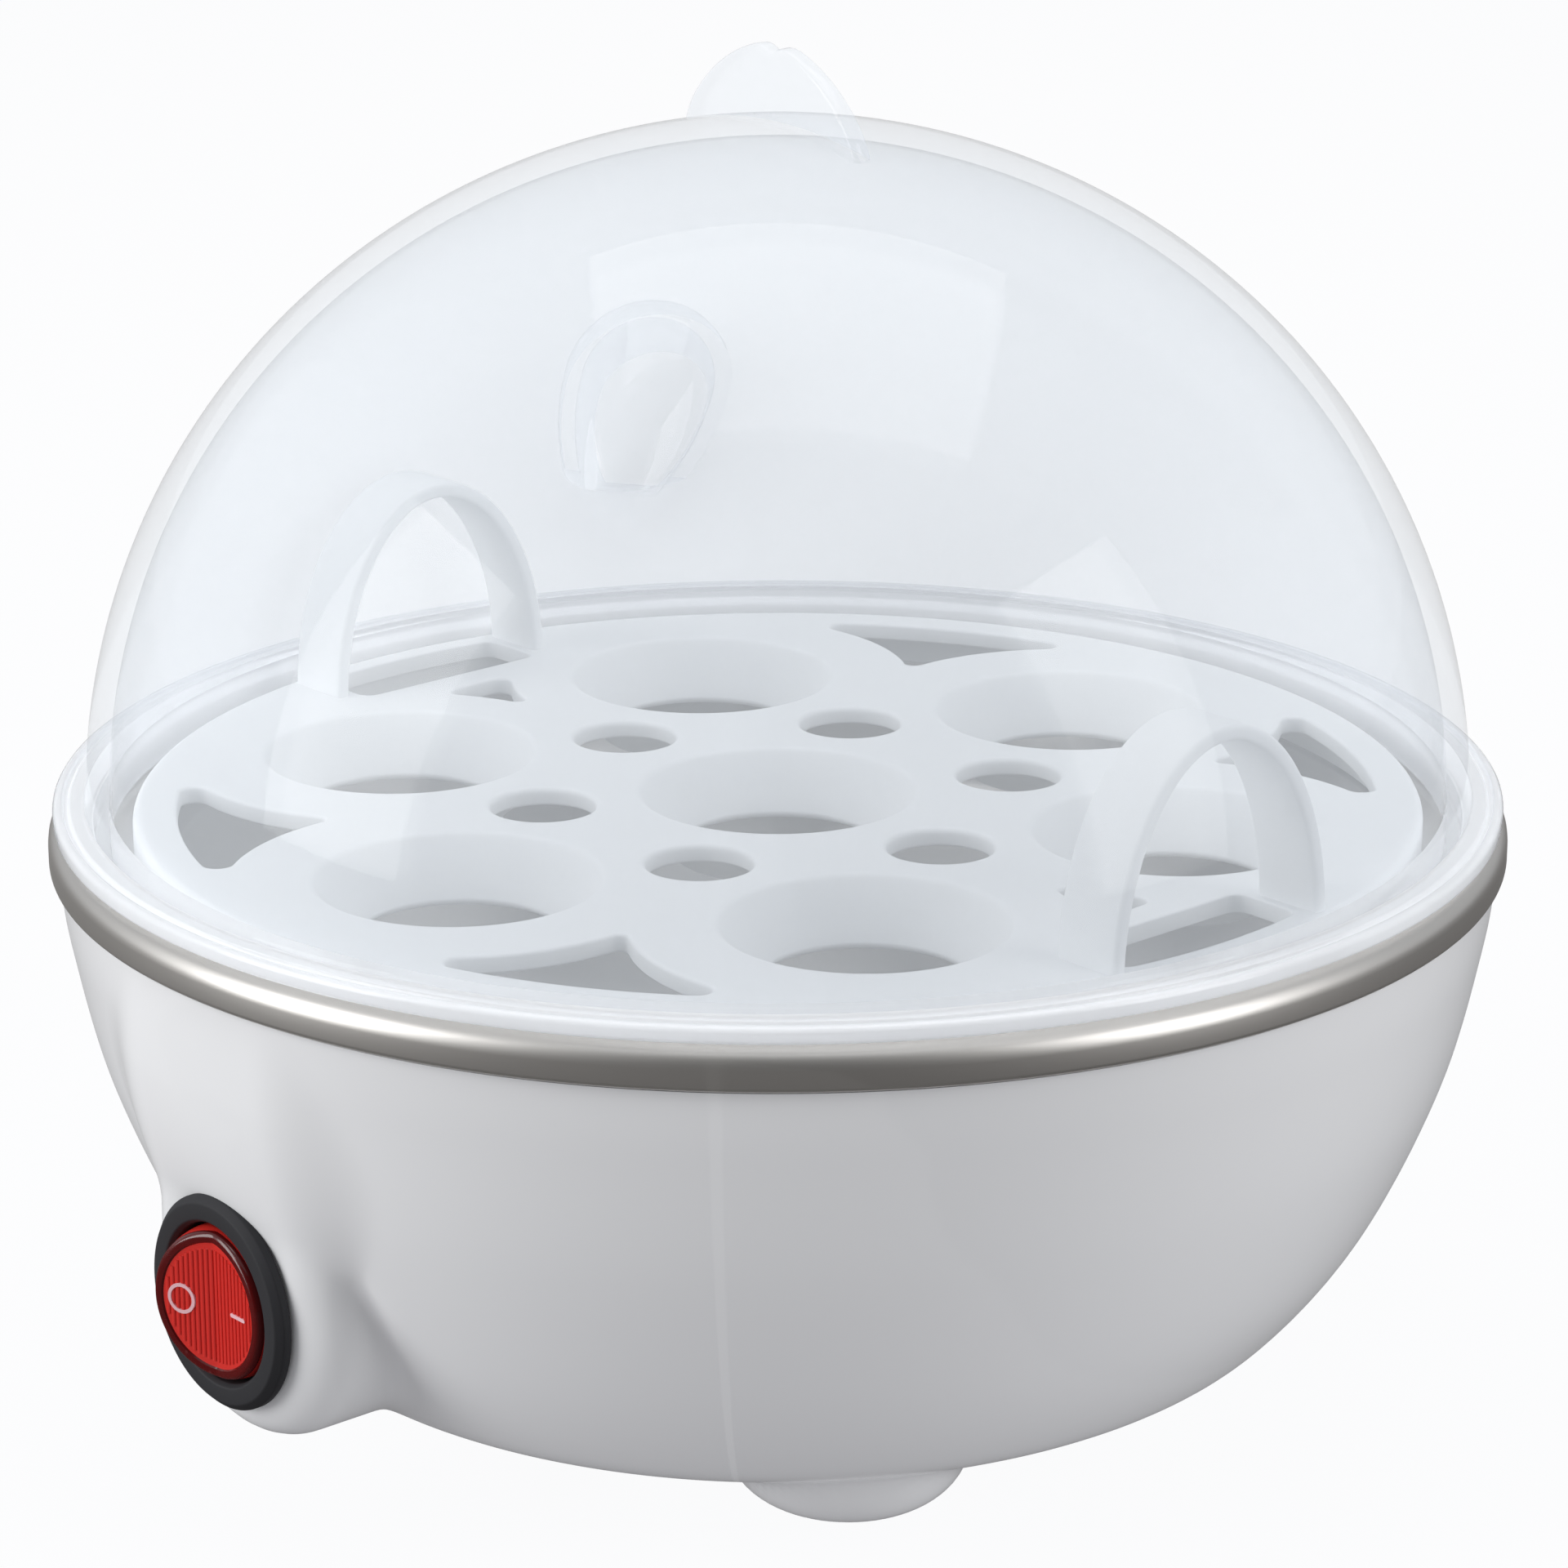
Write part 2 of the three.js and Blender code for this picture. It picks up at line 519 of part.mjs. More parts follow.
// ---------------------------------------------------------------- egg rack
// Rounded three-sided opening between two neighbouring egg seats.
function betweenSeats(angle, outerR, sideR, corner, tip, steps) {
  const half = 30;
  const apart = (radius, distance) => {
    const cosine = (radius ** 2 + SEAT.pitch ** 2 - distance ** 2) / (2 * radius * SEAT.pitch);
    return half - (Math.acos(cosine) * 180) / Math.PI;
  };
  const seat = (side) => polar(SEAT.pitch, angle + side * half);
  const heading = ([x0, y0], [x1, y1]) => (Math.atan2(y1 - y0, x1 - x0) * 180) / Math.PI;
  const sweep = (centre, radius, from, to) => {
    const turn = ((((to - from) % 360) + 540) % 360) - 180;
    return arc(...centre, radius, from, from + turn, steps);
  };
  const cornerHalf = apart(outerR - corner, sideR + corner);
  const cornerAt = (side) => polar(outerR - corner, angle + side * cornerHalf);
  const reach = SEAT.pitch * Math.cos(degrees(half));
  const tipR = reach + Math.sqrt((sideR + tip) ** 2 - (SEAT.pitch * Math.sin(degrees(half))) ** 2);
  const tipAt = polar(tipR, angle);
  const toSeat = (from, side) => heading(from, seat(side));
  return [
    ...sweep([0, 0], outerR, angle - cornerHalf, angle + cornerHalf),
    ...sweep(cornerAt(1), corner, angle + cornerHalf, toSeat(cornerAt(1), 1)).slice(1),
    ...sweep(seat(1), sideR, heading(seat(1), cornerAt(1)), heading(seat(1), tipAt)).slice(1),
    ...sweep(tipAt, tip, toSeat(tipAt, 1), toSeat(tipAt, -1)).slice(1),
    ...sweep(seat(-1), sideR, heading(seat(-1), tipAt), heading(seat(-1), cornerAt(-1))).slice(1),
    ...sweep(cornerAt(-1), corner, toSeat(cornerAt(-1), -1), angle - cornerHalf).slice(1, -1),
  ];
}

function fingerSlot(angle) {
  const [low, high, half, corner] = [58, 68, 12.6, 2];
  const corners = [[high - corner, half - corner, 0], [low + corner, half - corner, 90],
    [low + corner, corner - half, 180], [high - corner, corner - half, 270]];
  return corners.flatMap(([x, y, from]) => arc(x, y, corner, from, from + 90, 3)).map(([x, y]) => {
    const [ux, uy] = polar(1, angle);
    return [x * ux - y * uy, x * uy + y * ux];
  });
}

// The arch stands across the slot: its outline is drawn sideways and pushed outwards.
function handleArch(angle) {
  const sides = 12;
  const half = (radius, height) =>
    arc(0, 0, 1, 0, 180, sides).map(([x, y]) => [x * radius, RACK_Z + y * height]);
  const outer = half(HANDLE.halfWidth, HANDLE.height);
  const inner = half(HANDLE.halfWidth - HANDLE.strap, HANDLE.height - HANDLE.strap).reverse();
  const sunk = RACK_Z - 1;
  const [legOut, legIn] = [HANDLE.halfWidth, HANDLE.halfWidth - HANDLE.strap];
  const outline = [[legOut, sunk], ...outer, [-legOut, sunk], [-legIn, sunk], ...inner, [legIn, sunk]];
  const bar = plateOf(outline, [], HANDLE.outer - HANDLE.inner, HANDLE.inner);
  const place = new THREE.Matrix4().makeBasis(
    new THREE.Vector3(...polar(1, angle + 90), 0),
    new THREE.Vector3(0, 0, 1),
    new THREE.Vector3(...polar(1, angle), 0),
  );
  return bar.applyMatrix4(place);
}

function eggRack() {
  const low = RACK_Z - RACK.plate;
  const seats = [[0, 0], ...[0, 1, 2, 3, 4, 5].map((k) => polar(SEAT.pitch, SEAT.first + 60 * k))];
  const sixty = [0, 60, 120, 180, 240, 300];
  const steam = sixty.map((turn) => circle(...polar(STEAM.pitch, STEAM.first + turn), STEAM.radius, 16));
  const windows = [61, 121, 241, 301].map((angle) => betweenSeats(angle, 66, 24.6, 1.6, 1, 4));
  const smallHoles = HANDLE.angles.map((angle) => betweenSeats(angle, 54, 22.5, 1.5, 1, 2));
  const slots = HANDLE.angles.map(fingerSlot);
  const rim = circle(0, 0, RACK.radius, ROUND);
  const cupHoles = seats.map(([x, y]) => circle(x, y, SEAT.topR + 0.4, CUP_SIDES));
  const plate = plateOf(rim, [...cupHoles, ...steam, ...windows, ...smallHoles, ...slots], RACK.plate, low);

  const cup = turnedPiece([
    [SEAT.topR, RACK_Z],
    [SEAT.topR - 1.9, RACK_Z - 3.4],
    [SEAT.lowR, RACK_Z - SEAT.depth],
    [SEAT.lowR + 0.9, RACK_Z - SEAT.depth - 0.9],
    [SEAT.topR - 0.4, RACK_Z - 4],
    [SEAT.topR + 1, low],
    [SEAT.topR + 1, RACK_Z],
    [SEAT.topR, RACK_Z],
  ], CUP_SIDES);
  const skirt = ring(RACK.radius - RACK.skirt, RACK.radius, DISH.ledgeZ + GAP, RACK_Z - 0.2);
  const pieces = [skirt, ...seats.map(([x, y]) => moved(cup, x, y, 0)), ...HANDLE.angles.map(handleArch)];
  return join(plate, ...pieces);
}
add('egg_rack', eggRack(), MILKY);

// ---------------------------------------------------------------- domed lid
function domeCurve(radius, height, steps) {
  return arc(0, 0, 1, 90, 2, steps).map(([x, y]) => [Math.max(x, 0) * radius, RACK_Z + y * height]);
}

// Moves a piece drawn flat on z = 0 onto the dome: +Z outwards, +Y down the slope.
function onDome(geometry) {
  const height = DOME.outerH * Math.sqrt(1 - (VENT.radius / DOME.outerR) ** 2);
  const [ux, uy] = polar(1, VENT.azimuth);
  const steep = Math.atan2(height / DOME.outerH ** 2, VENT.radius / DOME.outerR ** 2);
  const normal = new THREE.Vector3(ux * Math.cos(steep), uy * Math.cos(steep), Math.sin(steep));
  const down = new THREE.Vector3(ux * Math.sin(steep), uy * Math.sin(steep), -Math.cos(steep));
  const across = new THREE.Vector3().crossVectors(down, normal);
  const place = new THREE.Matrix4().makeBasis(across, down, normal);
  place.setPosition(ux * VENT.radius, uy * VENT.radius, RACK_Z + height);
  return geometry.clone().applyMatrix4(place);
}

// An egg shape lying on the dome, narrow end down, cut off level above its mouth.
function ventBulge(shrink, mouthZ) {
  const egg = new THREE.SphereGeometry(1, 20, 12).rotateZ(Math.PI / 2);
  egg.scale(VENT.across - shrink, 1, VENT.rise - shrink);
  const points = egg.attributes.position;
  for (let i = 0; i < points.count; i += 1) {
    const y = points.getY(i);
    points.setY(i, y * ((y > 0 ? VENT.below : VENT.above) - shrink));
  }
  return common(onDome(egg), block(200, 200, 100, 0, 0, mouthZ + 50));
}

function grip() {
  const steps = 14;
  const top = Array.from({ length: steps + 1 }, (_, k) => {
    const u = Math.cos((Math.PI * k) / steps);
    const lobe = (1 - Math.abs(u) ** FIN.power) ** (1 / FIN.power) * FIN.rise;
    const notch = FIN.notch * Math.max(0, 1 - Math.abs(u) / 0.16);
    return [u * FIN.half, RACK_Z + FIN.base + lobe - notch];
  });
  const outline = [...top, [-FIN.half + 1, RACK_Z + FIN.base - 1], [FIN.half - 1, RACK_Z + FIN.base - 1]];
  const plate = plateOf(outline, [], FIN.thick, -FIN.thick / 2).rotateX(Math.PI / 2);
  return turned(plate, FIN.azimuth);
}

function domedLid() {
  const steps = 9;
  const shell = domeCurve(DOME.outerR, DOME.outerH, steps);
  const room = domeCurve(DOME.outerR - DOME.wall, DOME.outerH - DOME.wall, steps);
  const underside = RACK_Z - 0.5 + GAP;
  const collar = { outer: 75, low: RACK_Z - 3 };
  const outer = turnedPiece([
    ...shell,
    [DOME.outerR + 0.2, RACK_Z + DOME.flangeTop],
    [DOME.flangeR - 0.4, RACK_Z + DOME.flangeTop],
    [DOME.flangeR, RACK_Z + DOME.flangeTop - 0.5],
    [DOME.flangeR, underside],
    [collar.outer, underside],
    [collar.outer, collar.low],
    [0, collar.low],
  ]);
  const inner = turnedPiece([...room, [DOME.outerR - DOME.wall, collar.low - 1], [0, collar.low - 1]]);
  const bulged = join(join(outer, ventBulge(0, VENT.mouthZ)), grip());
  return cut(bulged, inner, ventBulge(VENT.wall, VENT.mouthZ - 1.5));
}
add('lid_dome', domedLid(), CLEAR);

export default cooker;
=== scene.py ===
"""Seven-egg cooker: its moulded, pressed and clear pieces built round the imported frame."""

import math

import bmesh
import bpy
import numpy as np
from mathutils import Matrix, Vector
from mathutils.geometry import delaunay_2d_cdt


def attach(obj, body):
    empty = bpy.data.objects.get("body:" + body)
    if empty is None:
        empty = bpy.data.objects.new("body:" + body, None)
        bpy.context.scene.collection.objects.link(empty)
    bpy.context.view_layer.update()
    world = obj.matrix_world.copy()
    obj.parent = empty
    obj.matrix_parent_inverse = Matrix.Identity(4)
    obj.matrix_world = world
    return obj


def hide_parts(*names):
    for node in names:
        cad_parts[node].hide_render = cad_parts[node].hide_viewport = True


bl_info = {
    "name": "Egg Cooker",
    "version": (1, 0, 0),
    "blender": (4, 5, 0),
    "location": "View3D > Sidebar > Egg Cooker",
    "description": "Builds an egg cooker's bowl, water dish, rack, lid and switch",
    "category": "Object",
}

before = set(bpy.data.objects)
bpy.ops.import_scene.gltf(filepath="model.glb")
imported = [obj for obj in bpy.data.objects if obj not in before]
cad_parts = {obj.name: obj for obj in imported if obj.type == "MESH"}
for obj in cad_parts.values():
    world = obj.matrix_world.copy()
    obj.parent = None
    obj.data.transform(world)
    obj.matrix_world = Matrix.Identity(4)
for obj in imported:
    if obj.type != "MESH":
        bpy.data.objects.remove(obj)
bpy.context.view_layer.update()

# Drawing is in millimetres; meshes are in metres.
MM = 0.001
COLUMNS = 192
FINE_COLUMNS = 256
FAR_OFF = 99.0
RACK_TOP = 67.0
RIM_TOP = 66.5
RACK_TURN = 1
ARCH_ANGLES = (RACK_TURN, RACK_TURN + 180)
SEAT_RING = 44.9
SWITCH_Z = 27.2
SWITCH_OUT = 77.2
PIVOT_Y = -75.0
REST_TILT = math.radians(10)
INLET_Z = 22.0
INLET_FACE = 71.0
FOOT_RING = 40.0
FOOT_ANGLES = (-30, 90, 210)
SCREW_RING = 41.0
SCREW_ANGLES = (45, 165, 285)


# ------------------------------------------------------------------ meshes
def new_object(name, data):
    """A named object linked to the scene."""
    one = bpy.data.objects.new(name, data)
    bpy.context.scene.collection.objects.link(one)
    return one


def new_piece(name, points, faces, closed=True):
    """A mesh object from points in millimetres, its doubles merged and faces turned outward."""
    mesh = bpy.data.meshes.new(name)
    mesh.from_pydata((np.asarray(points, float) * MM).tolist(), [], faces)
    piece = new_object(name, mesh)
    if closed:
        turn_outward(mesh)
    return piece


def turn_outward(mesh):
    """Merges doubles and turns every face outward."""
    work = bmesh.new()
    work.from_mesh(mesh)
    bmesh.ops.remove_doubles(work, verts=work.verts, dist=2e-7)
    bmesh.ops.recalc_face_normals(work, faces=work.faces)
    work.to_mesh(mesh)
    work.free()


def strip(low, high):
    """Faces between two rings of equal length, or between a ring and a single pole."""
    if len(low) == 1 and len(high) == 1:
        return []
    if len(low) == 1:
        return [(low[0], high[(k + 1) % len(high)], high[k]) for k in range(len(high))]
    if len(high) == 1:
        return [(low[k], low[(k + 1) % len(low)], high[0]) for k in range(len(low))]
    return [
        (low[k], low[(k + 1) % len(low)], high[(k + 1) % len(low)], high[k])
        for k in range(len(low))
    ]


def skin(rings):
    """Faces between each ring and the next."""
    faces = []
    for low, high in zip(rings, rings[1:]):
        faces += strip(low, high)
    return faces


def add_ring(points, ring):
    """Adds a ring's points to a list and gives their numbers."""
    first = len(points)
    points += ring
    return list(range(first, len(points)))


def rounded(corners, steps=5, closed=False):
    """Points along a line of corners (a, b, radius), each corner turned into an arc."""
    line = []
    count = len(corners)
    for k, (a, b, radius) in enumerate(corners):
        here = np.array((a, b), float)
        if radius == 0 or (not closed and k in (0, count - 1)):
            line.append(tuple(here))
            continue
        before = np.array(corners[k - 1][:2], float) - here
        after = np.array(corners[(k + 1) % count][:2], float) - here
        before /= np.linalg.norm(before)
        after /= np.linalg.norm(after)
        turn = math.acos(float(np.clip(before @ after, -1, 1)))
        middle = (before + after) / np.linalg.norm(before + after)
        centre = here + middle * radius / math.sin(turn / 2)
        reach = radius / math.tan(turn / 2)
        start = here + before * reach - centre
        end = here + after * reach - centre
        sweep = math.pi - turn
        for t in np.linspace(0, 1, steps + 1):
            arm = math.sin((1 - t) * sweep) * start + math.sin(t * sweep) * end
            line.append(tuple(centre + arm / math.sin(sweep)))
    return line


def revolve(profile, columns=COLUMNS, closed=False):
    """Points and faces of a turned shape from (radius, height) points."""
    angles = np.arange(columns) * 2 * math.pi / columns
    points, rings = [], []
    for r, z in profile:
        turns = angles if r > 1e-6 else [0.0]
        rings.append(add_ring(points, [(r * math.cos(a), r * math.sin(a), z) for a in turns]))
    if closed:
        rings.append(rings[0])
    return points, skin(rings)


def turned(name, profile, columns=COLUMNS, closed=False, place=None):
    """A turned piece, laid in its place if one is given."""
    points, faces = revolve(profile, columns, closed)
    if place is not None:
        points = [place @ Vector(p) for p in points]
    return new_piece(name, points, faces)


def drum(radius, low, high, columns, place):
    """A round tool for cutting or adding, upright in its own place."""
    return turned("drum", [(0, low), (radius, low), (radius, high), (0, high)], columns, place=place)


def box(size, centre, place=None):
    """A rectangular block of a size round a centre, laid in its place if one is given."""
    hx, hy, hz = (s / 2 for s in size)
    cx, cy, cz = centre
    corners = [
        (cx + sx * hx, cy + sy * hy, cz + sz * hz)
        for sx in (-1, 1) for sy in (-1, 1) for sz in (-1, 1)
    ]
    if place is not None:
        corners = [place @ Vector(c) for c in corners]
    faces = [(0, 1, 3, 2), (4, 6, 7, 5), (0, 4, 5, 1), (2, 3, 7, 6), (0, 2, 6, 4), (1, 5, 7, 3)]
    return new_piece("box", corners, faces)


def baked(piece):
    """Turns what the piece's modifiers make into its own plain mesh."""
    bpy.context.view_layer.update()
    solved = piece.evaluated_get(bpy.context.evaluated_depsgraph_get())
    mesh = bpy.data.meshes.new_from_object(solved)
    piece.modifiers.clear()
    old = piece.data
    piece.data = mesh
    bpy.data.meshes.remove(old)
    if len(mesh.polygons) == 0:
        raise RuntimeError(f"{piece.name} came out empty")
    return piece


def combine(piece, operation, *tools):
    """Joins, cuts or keeps the common part of a closed piece and other closed shapes."""
    for tool in tools:
        step = piece.modifiers.new("combine", "BOOLEAN")
        step.operation = operation
        step.solver = "MANIFOLD"
        step.object = tool
        baked(piece)
        bpy.data.objects.remove(tool)
    return piece


def smooth(piece, angle=32):
    """Shades a piece smoothly but for edges sharper than an angle."""
    piece.data.shade_smooth()
    piece.data.set_sharp_from_angle(angle=math.radians(angle))
    return piece


def polar(radius, angle):
    """The flat point at a radius and an angle in degrees."""
    return radius * math.cos(math.radians(angle)), radius * math.sin(math.radians(angle))


def circle(centre, radius, sides):
    """A counter-clockwise ring of flat points."""
    return [
        (centre[0] + radius * math.cos(a), centre[1] + radius * math.sin(a))
        for a in np.arange(sides) * 2 * math.pi / sides
    ]


def grown(loop, distance):
    """A counter-clockwise loop moved outwards by a distance."""
    line = np.asarray(loop, float)
    ahead = np.roll(line, -1, 0) - line
    ahead /= np.linalg.norm(ahead, axis=1)[:, None]
    both = ahead + np.roll(ahead, 1, 0)
    both /= np.linalg.norm(both, axis=1)[:, None]
    return line + np.stack([both[:, 1], -both[:, 0]], 1) * distance


def inside(points, loop):
    """Which points lie in a closed loop."""
    x, y = points[:, 0], points[:, 1]
    hit = np.zeros(len(points), bool)
    for (x0, y0), (x1, y1) in zip(loop, np.roll(loop, -1, 0)):
        crosses = (y0 > y) != (y1 > y)
        if y0 != y1:
            hit ^= crosses & (x < (x1 - x0) * (y - y0) / (y1 - y0) + x0)
    return hit


def moulded_plate(outline, edge, openings):
    """Points and faces of a flat moulding with shaped edges.

    edge, and the second half of each opening, is a list of (distance into the material, height)
    that starts on the upper face and ends on the lower one.
    """
    points, faces, borders = [], [], []
    for loop, shape, side in [(outline, edge, -1)] + [(o, s, 1) for o, s in openings]:
        rings = [
            add_ring(points, [(x, y, z) for x, y in grown(loop, side * distance)])
            for distance, z in shape
        ]
        faces += skin(rings)
        borders.append((rings[0], rings[-1]))
    for level in (0, 1):
        index = [i for pair in borders for i in pair[level]]
        flat = [Vector(points[i][:2]) for i in index]
        edges, loops, start = [], [], 0
        for pair in borders:
            count = len(pair[level])
            edges += [(start + k, start + (k + 1) % count) for k in range(count)]
            loops.append(np.array([flat[start + k] for k in range(count)]))
            start += count
        found, _, triangles, origin, _, _ = delaunay_2d_cdt(flat, edges, [], 0, 1e-6)
        centres = np.array([sum((found[i] for i in t), Vector((0, 0))) / 3 for t in triangles])
        keep = inside(centres, loops[0])
        for loop in loops[1:]:
            keep &= ~inside(centres, loop)
        faces += [
            tuple(index[origin[i][0]] for i in t) for t, wanted in zip(triangles, keep) if wanted
        ]
    return points, faces


# ------------------------------------------------------------------ node trees
def geometry_tree(name, inputs):
    """A geometry tree with its named inputs, and its two end nodes."""
    tree = bpy.data.node_groups.new(name, "GeometryNodeTree")
    tree.interface.new_socket("Geometry", in_out="OUTPUT", socket_type="NodeSocketGeometry")
    tree.interface.new_socket("Geometry", in_out="INPUT", socket_type="NodeSocketGeometry")
    for label, kind, default in inputs:
        socket = tree.interface.new_socket(label, in_out="INPUT", socket_type="NodeSocket" + kind)
        if default is not None:
            socket.default_value = default
    return tree, tree.nodes.new("NodeGroupInput"), tree.nodes.new("NodeGroupOutput")


def add_node(tree, kind, inputs=None, **settings):
    """A node with its settings made and its sockets set or linked."""
    node = tree.nodes.new(kind)
    for key, value in settings.items():
        setattr(node, key, value)
    for key, value in (inputs or {}).items():
        if isinstance(value, bpy.types.NodeSocket):
            tree.links.new(value, node.inputs[key])
        else:
            node.inputs[key].default_value = value
    return node


def grow(piece, tree, values):
    """Runs a geometry tree on a piece with the named inputs and keeps the result."""
    step = piece.modifiers.new(tree.name, "NODES")
    step.node_group = tree
    for item in tree.interface.items_tree:
        if item.in_out == "INPUT" and item.name in values:
            step[item.identifier] = values[item.name]
    return baked(piece)


def shader_group(name, inputs, outputs):
    """A shader group with its named sockets, and its two end nodes."""
    group = bpy.data.node_groups.new(name, "ShaderNodeTree")
    for label, kind, default in inputs:
        socket = group.interface.new_socket(label, in_out="INPUT", socket_type="NodeSocket" + kind)
        socket.default_value = default
    for label, kind in outputs:
        group.interface.new_socket(label, in_out="OUTPUT", socket_type="NodeSocket" + kind)
    return group, group.nodes.new("NodeGroupInput"), group.nodes.new("NodeGroupOutput")


def maths(tree, operation, first, second=0.0):
    """The result of one sum."""
    return add_node(tree, "ShaderNodeMath", {0: first, 1: second}, operation=operation).outputs[0]


def vector_maths(tree, operation, **inputs):
    """The outputs of a vector sum; its sockets are first, second and Scale."""
    numbered = {{"first": 0, "second": 1}.get(key, key): value for key, value in inputs.items()}
    return add_node(tree, "ShaderNodeVectorMath", numbered, operation=operation).outputs


def vector(tree, x=0.0, y=0.0, z=0.0):
    """A vector joined from three values or sockets."""
    return add_node(tree, "ShaderNodeCombineXYZ", {"X": x, "Y": y, "Z": z}).outputs[0]


def object_place(tree):
    """The piece's own coordinates."""
    return add_node(tree, "ShaderNodeTexCoord").outputs["Object"]


def spread(tree, value, low, high, out_low=0.0, out_high=1.0):
    """A value moved from one range to another, held at its ends."""
    inputs = {"Value": value, "From Min": low, "From Max": high, "To Min": out_low, "To Max": out_high}
    return add_node(tree, "ShaderNodeMapRange", inputs).outputs["Result"]


def noise(tree, vector, scale, detail=3.0, roughness=0.55):
    """A cloudy pattern between 0 and 1."""
    inputs = {"Vector": vector, "Scale": scale, "Detail": detail, "Roughness": roughness}
    return add_node(tree, "ShaderNodeTexNoise", inputs).outputs["Fac"]


def moulded_grain(name):
    """Soft unevenness and fine grain of a moulded or cast surface."""
    group, start, end = shader_group(
        name,
        [("Grain Scale", "Float", 1800.0), ("Sink Scale", "Float", 28.0), ("Sink Share", "Float", 0.5)],
        [("Height", "Float"), ("Tone", "Float")],
    )
    place = object_place(group)
    grain = noise(group, place, start.outputs["Grain Scale"], 2.0)
    sink = noise(group, place, start.outputs["Sink Scale"], 1.0, 0.4)
    share = start.outputs["Sink Share"]
    rest = maths(group, "SUBTRACT", 1.0, share)
    coarse = maths(group, "MULTIPLY", sink, share)
    height = maths(group, "ADD", coarse, maths(group, "MULTIPLY", grain, rest))
    group.links.new(height, end.inputs["Height"])
    group.links.new(sink, end.inputs["Tone"])
    return group


def handling_marks(name):
    """Sparse specks and hairlines where a surface has been touched and wiped."""
    group, start, end = shader_group(
        name,
        [("Speck Scale", "Float", 260.0), ("Speck Amount", "Float", 0.12), ("Hair Scale", "Float", 60.0)],
        [("Specks", "Float"), ("Smears", "Float")],
    )
    place = object_place(group)
    cell = add_node(
        group, "ShaderNodeTexVoronoi", {"Vector": place, "Scale": start.outputs["Speck Scale"]}
    ).outputs["Distance"]
    specks = spread(group, cell, start.outputs["Speck Amount"], 0.02)
    gate = spread(group, noise(group, place, 90.0, 1.0), 0.55, 0.62)
    stretched = add_node(
        group, "ShaderNodeMapping", {"Vector": place, "Scale": (1.0, 1.0, 9.0), "Rotation": (0.3, 0.5, 0.0)}
    ).outputs["Vector"]
    smears = spread(group, noise(group, stretched, start.outputs["Hair Scale"], 4.0, 0.7), 0.45, 0.75)
    group.links.new(maths(group, "MULTIPLY", specks, gate), end.inputs["Specks"])
    group.links.new(smears, end.inputs["Smears"])
    return group


def turned_brushing(name):
    """Fine lines that run round the upright axis, as on spun or polished sheet steel."""
    group, start, end = shader_group(
        name,
        [("Line Scale", "Float", 2600.0), ("Turn Scale", "Float", 2.5)],
        [("Lines", "Float")],
    )
    parts = add_node(group, "ShaderNodeSeparateXYZ", {"Vector": object_place(group)}).outputs
    flat = vector(group, parts["X"], parts["Y"])
    radius = vector_maths(group, "LENGTH", first=flat)["Value"]
    around = vector_maths(group, "NORMALIZE", first=flat)[0]
    turn = vector_maths(group, "SCALE", first=around, Scale=start.outputs["Turn Scale"])[0]
    scale = start.outputs["Line Scale"]
    level = maths(group, "MULTIPLY", maths(group, "ADD", radius, parts["Z"]), scale)
    shift = maths(group, "MULTIPLY", maths(group, "SUBTRACT", radius, parts["Z"]), scale)
    ends = add_node(group, "ShaderNodeSeparateXYZ", {"Vector": turn}).outputs
    bent = vector(group, maths(group, "ADD", ends["X"], shift), ends["Y"], level)
    group.links.new(noise(group, bent, 1.0, 3.0, 0.6), end.inputs["Lines"])
    return group


EFFECTS = {
    "Moulded Grain": moulded_grain, "Handling Marks": handling_marks,
    "Turned Brushing": turned_brushing,
}


def effect(tree, name, **values):
    """The outputs of a shared effect with its own settings."""
    node = tree.nodes.new("ShaderNodeGroup")
    node.node_tree = bpy.data.node_groups.get(name) or EFFECTS[name](name)
    for key, value in values.items():
        node.inputs[key.replace("_", " ")].default_value = value
    return node.outputs


def between(tree, factor, first, second):
    """A colour that changes over the surface from the first to the second."""
    mix = add_node(tree, "ShaderNodeMix", {"Factor": factor}, data_type="RGBA")
    for socket, value in ((mix.inputs[6], first), (mix.inputs[7], second)):
        if isinstance(value, bpy.types.NodeSocket):
            tree.links.new(value, socket)
        else:
            socket.default_value = (*value, 1.0) if len(value) == 3 else value
    return mix.outputs[2]


def new_material(name, **settings):
    """A material whose Principled sockets are set by name."""
    material = bpy.data.materials.new(name)
    material.use_nodes = True
    shader = material.node_tree.nodes["Principled BSDF"]
    for key, value in settings.items():
        socket = shader.inputs[key.replace("_", " ")]
        socket.default_value = (*value, 1.0) if socket.type == "RGBA" else value
    return material, material.node_tree, shader


def bump(tree, shader, height, distance, strength=1.0):
    """Lets a height pattern ripple the surface."""
    node = add_node(tree, "ShaderNodeBump", {"Height": height, "Distance": distance, "Strength": strength})
    tree.links.new(node.outputs["Normal"], shader.inputs["Normal"])


def feed(tree, shader, colour, rough):
    """Links a colour and a roughness to the shader."""
    tree.links.new(colour, shader.inputs["Base Color"])
    tree.links.new(rough, shader.inputs["Roughness"])


def blend(tree, share, first, second):
    """Two shaders mixed by a share."""
    inputs = {0: share, 1: first.outputs[0], 2: second.outputs[0]}
    return add_node(tree, "ShaderNodeMixShader", inputs)


def surface(tree, result):
    """Makes a shader node the material's surface."""
    tree.links.new(result.outputs[0], tree.nodes["Material Output"].inputs["Surface"])


def scaled(colour, factor):
    """A lighter or darker colour."""
    return tuple(min(1.0, c * factor) for c in colour)


# ------------------------------------------------------------------ materials
def specked(tree, marks, shade, share, speck):
    """A colour with sparse specks of another."""
    return between(tree, maths(tree, "MULTIPLY", marks["Specks"], share), shade, speck)


